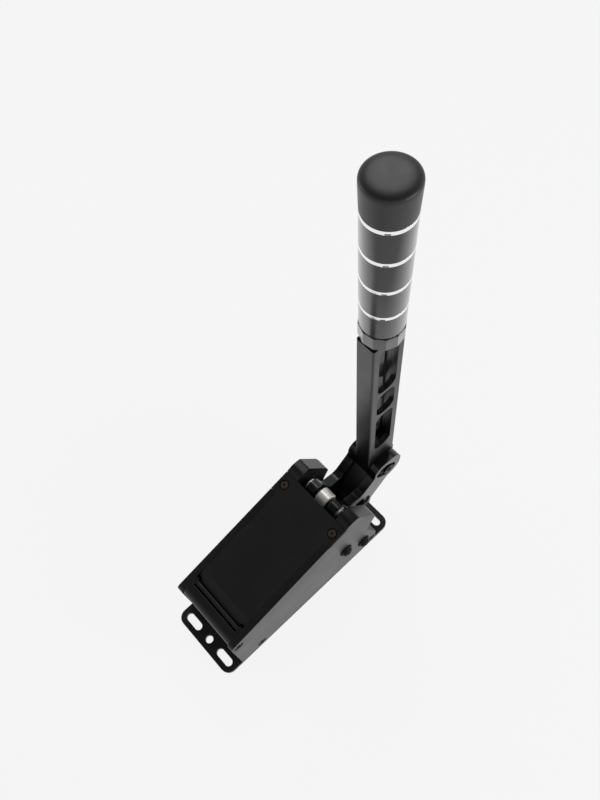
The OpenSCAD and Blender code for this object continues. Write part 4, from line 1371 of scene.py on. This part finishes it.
@dataclass
class Stack(Column):
    """The push rod and everything that it squeezes inside the guide tube.

    Attributes:
        eye_edge: Width of the chamfer at the rod end's eye, in millimetres.
        eye_facets: Facets round the eye.
        thread_pitch: Pitch of the rod's thread, in millimetres.
        thread_depth: Depth of the thread, in millimetres.
        thread_length: Length of the thread below the rod end, in millimetres.
        waist: Depth of the piston between its lands, in millimetres.
        land: Height of each of the piston's lands, in millimetres.
        knob_h: Height of the preload screw's knob, in millimetres.
        knurls: Ridges round the knob.
    """

    eye_edge: float = 0.6
    eye_facets: int = 144
    thread_pitch: float = 1.0
    thread_depth: float = 0.35
    thread_length: float = 14.0
    waist: float = 1.4
    land: float = 2.5
    knob_h: float = 4.0
    knurls: int = 40

    def axis(self) -> Axis:
        """Returns the rod's axis, from its pin down into the housing."""
        pin = solids("clevis_pin")[0].centre
        return Axis((0.0, float(pin[1]), float(pin[2])), tuple(piston_slide()["axis"]))

    def build(self) -> None:
        """Builds the stack from the rod end down."""
        self.build_rod_end()
        self.build_push_rod()
        self.parts("lock_nut", HexNut(), BOLT_BLACK, self.axis_of)
        self.build_piston()
        self.parts("guide_tube", PlainRing(0.4), DARK_STEEL, self.axis_of)
        self.parts("gland_ring", PlainRing(0.3), BRIGHT_STEEL, self.axis_of)
        self.parts("rebound_bumper", PlainRing(0.5), URETHANE, self.axis_of)
        self.build_sensor()
        self.build_elastomers()
        self.build_preload_screw()
        self.parts("preload_nut", HexNut(), BRIGHT_STEEL, self.axis_of)

    def build_rod_end(self) -> None:
        """Builds the rod end: its polished eye, which the pin goes through, and its shank."""
        solid, rod = solids("rod_end")[0], self.gauge("rod_end")
        eye = Gauge(solid, across_axis(solids("clevis_pin")[0], 1.0, 0.0))
        half, outer = float(solid.high[0]), float(solid.high[2]) - eye.axis.origin[2]
        face = [(eye.bore, -half, 0.3), (outer - 1.0, -half, 0.15), (outer, self.eye_edge - half, 0.3)]
        ring = turned(both_ends(face, -half, half), eye.axis, self.eye_facets, ring=True)
        shank_r = rod.widest(low=rod.end - 1)
        shank = [
            (0, outer - 1.6), (shank_r + 0.5, outer - 1.6), (shank_r, outer + 1.5, 1.0),
            (shank_r, rod.end - 0.5, 0.1), (shank_r - 0.4, rod.end), (0, rod.end),
        ]
        surface = ring + turned(shank, rod.axis, SCREW_FACETS)
        fit(as_piece("rod_end_turned", surface), BRIGHT_STEEL, "rod_end")

    def build_push_rod(self) -> None:
        """Builds the rod, threaded beside its nut and with a ball at its far end."""
        rod, eye_end = self.gauge("push_rod"), self.gauge("rod_end").end
        rod_r, ball_r = self.gauge("lock_nut").bore - 0.03, rod.widest(low=rod.end - 6)
        middle, thread_end = rod.end - ball_r, eye_end + self.thread_length
        turn = np.linspace(0.25 * math.pi, math.pi, 24)
        neck = eye_end + 0.05
        rows = [(0, rod.start), (rod_r - 1, rod.start), (rod_r - 1, neck), (rod_r, neck)]
        rows += [(rod_r, float(h)) for h in np.arange(eye_end + 0.3, thread_end, self.thread_pitch / 6)]
        rows += [(rod_r, middle - ball_r * 0.9, 0.3)]
        rows += [(float(ball_r * math.sin(t)), float(middle - ball_r * math.cos(t))) for t in turn]
        rate = math.tau / self.thread_pitch
        thread = grooved(self.thread_depth, rod_r - 0.1, eye_end + 0.2, thread_end, -1, rate)
        self.lathe("push_rod", BRIGHT_STEEL, rows, ROD_FACETS, carve=thread)

    def build_piston(self) -> None:
        """Builds the piston, with a waist between its two lands and a cup for the rod's ball."""
        piston = self.gauge("piston")
        start, end, radius = piston.start, piston.end, piston.outer
        cup = self.gauge("push_rod").widest(low=start) + 0.6
        depth = start + min(9.0, (end - start) * 0.66)
        land = [(radius, start, 0.3), (radius, start + self.land, 0.2)]
        land += [(radius - self.waist, start + self.land, 0.3)]
        rows = [(0, depth), (cup, depth, 0.8), (cup, start, 0.4), *both_ends(land, start, end), (0, end)]
        self.lathe("piston", BRIGHT_STEEL, rows)

    def build_sensor(self) -> None:
        """Builds the force sensor: a disc with a shallow groove and a raised button towards the block."""
        sensor = self.gauge("force_sensor")
        disc, start, end = sensor.outer, sensor.start, sensor.end
        groove, face, button, hole, dip = start + 0.4, end - 1.5, 7.0, 2.5, end - 2.1
        rows = [
            (0, start), (disc - 3, start), (disc - 3, groove, 0.1), (disc - 2, groove, 0.1),
            (disc - 2, start, 0.1), (disc, start, 0.4), (disc, face, 0.4), (button, face, 0.2),
            (button, end, 0.3), (hole, end, 0.2), (hole, dip), (0, dip),
        ]
        self.lathe("force_sensor", BRIGHT_STEEL, rows)

    def build_elastomers(self) -> None:
        """Builds both elastomers as rounded rings on the rod's axis, each with a mesh of its own."""
        axis = self.axis()
        near, far = self.gauge("soft_elastomer").start, self.gauge("hard_elastomer").end
        anchor = np.array(axis.origin) + far * unit(axis.along)
        for node in ("soft_elastomer", "hard_elastomer"):
            piece = self.parts(node, PlainRing(1.2), URETHANE, self.axis_of)
            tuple(axis.along)
            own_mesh(piece)

    def build_preload_screw(self) -> None:
        """Builds the preload screw with its knurled knob."""
        screw = self.gauge("preload_screw")
        start, end, knob = screw.start, screw.end, screw.outer
        shank, under = screw.widest(high=start + 3), screw.end - self.knob_h
        rows = [
            (0, start), (shank - 0.5, start, 0.1), (shank, start + 0.5, 0.1), (shank, under),
            (knob, under, 0.4), (knob, under + 0.6), (knob, end - 0.6), (knob - 0.1, end, 0.5),
            (2.6, end), (2.5, end - 2.0, 0, HEX), (0, end - 2.2),
        ]
        ridges = grooved(0.3, knob - 0.05, under + 0.5, end - 0.5, self.knurls)
        self.lathe("preload_screw", BRIGHT_STEEL, rows, HEX * self.knurls, carve=ridges)


@dataclass
class Electronics(SubAssembly):
    """The circuit board behind the end plate, what is on it, and the data port."""

    board_edge: float = 0.1
    chip_edge: float = 0.12
    port_wall: float = 0.4
    port_depth: float = 6.0
    screw: SocketScrew = SocketScrew(1.2, 1.05, 0.3, 1.25)

    def build(self) -> None:
        """Builds the board, its parts, its screws and the port."""
        self.machined("circuit_board", self.board_edge, BOARD_GREEN, 2)
        self.machined("board_parts", self.chip_edge, CHIP_BLACK, 2)
        self.parts("board_screws", self.screw, BRIGHT_STEEL, self.screw_axis)
        self.build_port()

    @staticmethod
    def screw_axis(solid: Solid) -> Axis:
        """Returns a board screw's axis, out of its head towards the block."""
        return Axis((solid.centre[0], solid.high[1], solid.centre[2]), (0.0, 1.0, 0.0))

    def build_port(self) -> None:
        """Builds the port: a round-cornered shell open to the front, with the contact tongue inside it."""
        solid, wall, depth = solids("data_port")[0], self.port_wall, self.port_depth
        width, length, height = (solid.high - solid.low).tolist()
        front = Axis((solid.centre[0], solid.low[1], solid.centre[2]), (0.0, 1.0, 0.0), (-1.0, 0.0, 0.0))
        shell = [(wall, depth), (wall, 0.15), (wall - 0.12, 0.0), (0.12, 0.0), (0.0, 0.15)]
        shell += [(0.0, length - 0.1), (0.1, length)]
        tongue = [(0.1, 0.5), (0.0, 0.7), (0.0, depth + 0.2)]
        surface = layered((width / 2, height / 2, height / 2), shell, front)
        surface += layered((width / 2 - 1.4, 0.35, 0.2), tongue, front)
        fit(as_piece("data_port_drawn", surface), BRIGHT_STEEL, "data_port")


# Studio


@dataclass(frozen=True)
class SoftBox:
    """A square lamp that points at a place on the object."""

    name: str
    place: Vec
    target: Vec
    size: float
    power: float

    def build(self) -> None:
        """Adds the lamp, hidden from the camera."""
        lamp = bpy.data.lights.new(self.name, "AREA")
        lamp.size = self.size
        lamp.energy = self.power
        holder = linked(self.name, lamp)
        aim = np.array(self.target) - np.array(self.place)
        holder.location = self.place
        flat = math.hypot(aim[0], aim[1])
        holder.rotation_euler = (math.atan2(flat, -aim[2]), 0.0, math.atan2(aim[1], aim[0]) - math.pi / 2)
        holder.visible_camera = False


@dataclass
class Studio(SubAssembly):
    """Pale floor, soft light and the camera at the photograph's place.

    Attributes:
        backdrop: Linear grey of the floor and the horizon.
        overhead: Grey of the room straight above.
        glow: Share of the floor's own light, so that its shadow stays faint.
        fill: Strength of the room's light on matt surfaces.
        half_floor: Half width of the floor, in metres.
        lens: Focal length of the camera, in millimetres.
        sensor: Width of the camera's frame, in millimetres.
        place: Place of the camera.
        turn: Turn of the camera, in degrees.
        lamps: The lamps.
    """

    backdrop: float = 0.985
    overhead: float = 0.1
    glow: float = 0.88
    fill: float = 0.18
    half_floor: float = 40.0
    lens: float = 34.229
    sensor: float = 36.0
    place: Vec = (0.16100, -0.06930, 0.69884)
    turn: Vec = (25.838, 3.690, 47.310)
    lamps: tuple[SoftBox, ...] = (
        SoftBox("overhead_box", (-0.62, 0.78, 1.45), (0.0, 0.1, 0.4), 0.5, 4.5),
        SoftBox("right_box", (1.2, 0.6, 0.6), (0.0, 0.05, 0.2), 0.8, 7.0),
        SoftBox("left_box", (-1.0, -0.5, 0.5), (0.0, 0.05, 0.25), 0.6, 1.8),
    )

    def build(self) -> None:
        """Builds the floor, the world, the lamps and the camera."""
        self.build_camera()
        self.build_floor()
        self.build_world()
        for lamp in self.lamps:
            lamp.build()
        bpy.context.scene.view_settings.view_transform = "Standard"

    def build_camera(self) -> None:
        """Adds the camera, solved from the photograph."""
        data = bpy.data.cameras.new("camera")
        data.lens = self.lens
        data.sensor_width = self.sensor
        data.clip_start = 0.01
        camera = linked("camera", data)
        camera.location = self.place
        camera.rotation_euler = tuple(math.radians(angle) for angle in self.turn)
        bpy.context.scene.camera = camera

    @staticmethod
    def by_ray(graph: Graph, other: Socket, seen: Socket, share: float = 1.0) -> Socket:
        """Mixes a shader that is seen and mirrored with one that lights the object.

        Args:
            graph: The graph to add to.
            other: Shader for the rays that light the object.
            seen: Shader for camera, glossy and transmission rays.
            share: Share of the seen shader for those rays.

        Returns:
            The mixed shader.
        """
        ray = graph.add("ShaderNodeLightPath").outputs
        mirror = graph.math("MAXIMUM", ray["Is Glossy Ray"], ray["Is Transmission Ray"])
        factor = graph.math("MULTIPLY", graph.math("MAXIMUM", ray["Is Camera Ray"], mirror), share)
        return graph.add("ShaderNodeMixShader", {0: factor, 1: other, 2: seen}).outputs[0]

    def build_floor(self) -> None:
        """Adds the floor, partly lit from itself and partly by the lamps."""
        size = self.half_floor
        corners = [(-size, -size, 0), (size, -size, 0), (size, size, 0), (-size, size, 0)]
        mesh = bpy.data.meshes.new("floor")
        mesh.from_pydata(corners, [], [(0, 1, 2, 3)])
        material = bpy.data.materials.new("floor_paper")
        material.use_nodes = True
        graph = Graph(material.node_tree)
        paper = graph.add("ShaderNodeBsdfDiffuse", {"Color": grey(0.9)}).outputs[0]
        glow = graph.add("ShaderNodeEmission", {"Color": grey(self.backdrop), "Strength": 1.0}).outputs[0]
        graph.add("ShaderNodeOutputMaterial", {"Surface": self.by_ray(graph, paper, glow, self.glow)})
        mesh.materials.append(material)
        floor = linked("floor", mesh)

    def build_world(self) -> None:
        """Adds the room: pale at the horizon and darker overhead where it is seen, dim elsewhere."""
        world = bpy.data.worlds.new("room")
        bpy.context.scene.world = world
        world.use_nodes = True
        graph = Graph(world.node_tree)
        place = graph.add("ShaderNodeTexCoord").outputs["Generated"]
        up = graph.add("ShaderNodeSeparateXYZ", {0: place}).outputs[2]
        colour = graph.blend(graph.ramp(up, 0.25, 0.85), grey(self.backdrop), grey(self.overhead))
        shown = graph.add("ShaderNodeBackground", {"Color": colour, "Strength": 1.0}).outputs[0]
        fill = graph.add("ShaderNodeBackground", {"Color": grey(1.0), "Strength": self.fill}).outputs[0]
        graph.add("ShaderNodeOutputWorld", {"Surface": self.by_ray(graph, fill, shown)})


def main() -> None:
    """Builds the studio and the sub-assemblies in order and reports each piece."""
    logging.basicConfig(level=logging.INFO, format="%(name)s: %(message)s")
    for group in (Studio(), Base(), Housing(), Pivots(), Rocker(), Lever(), Grip(), Stack(), Electronics()):
        log.info("building %s", type(group).__name__)
        group.build()
    left = [name for name, node in frame["nodes"].items() if not node.hide_render]
    log.info("CAD nodes still shown: %s", ", ".join(left) or "none")


if __name__ == "__main__":
    main()
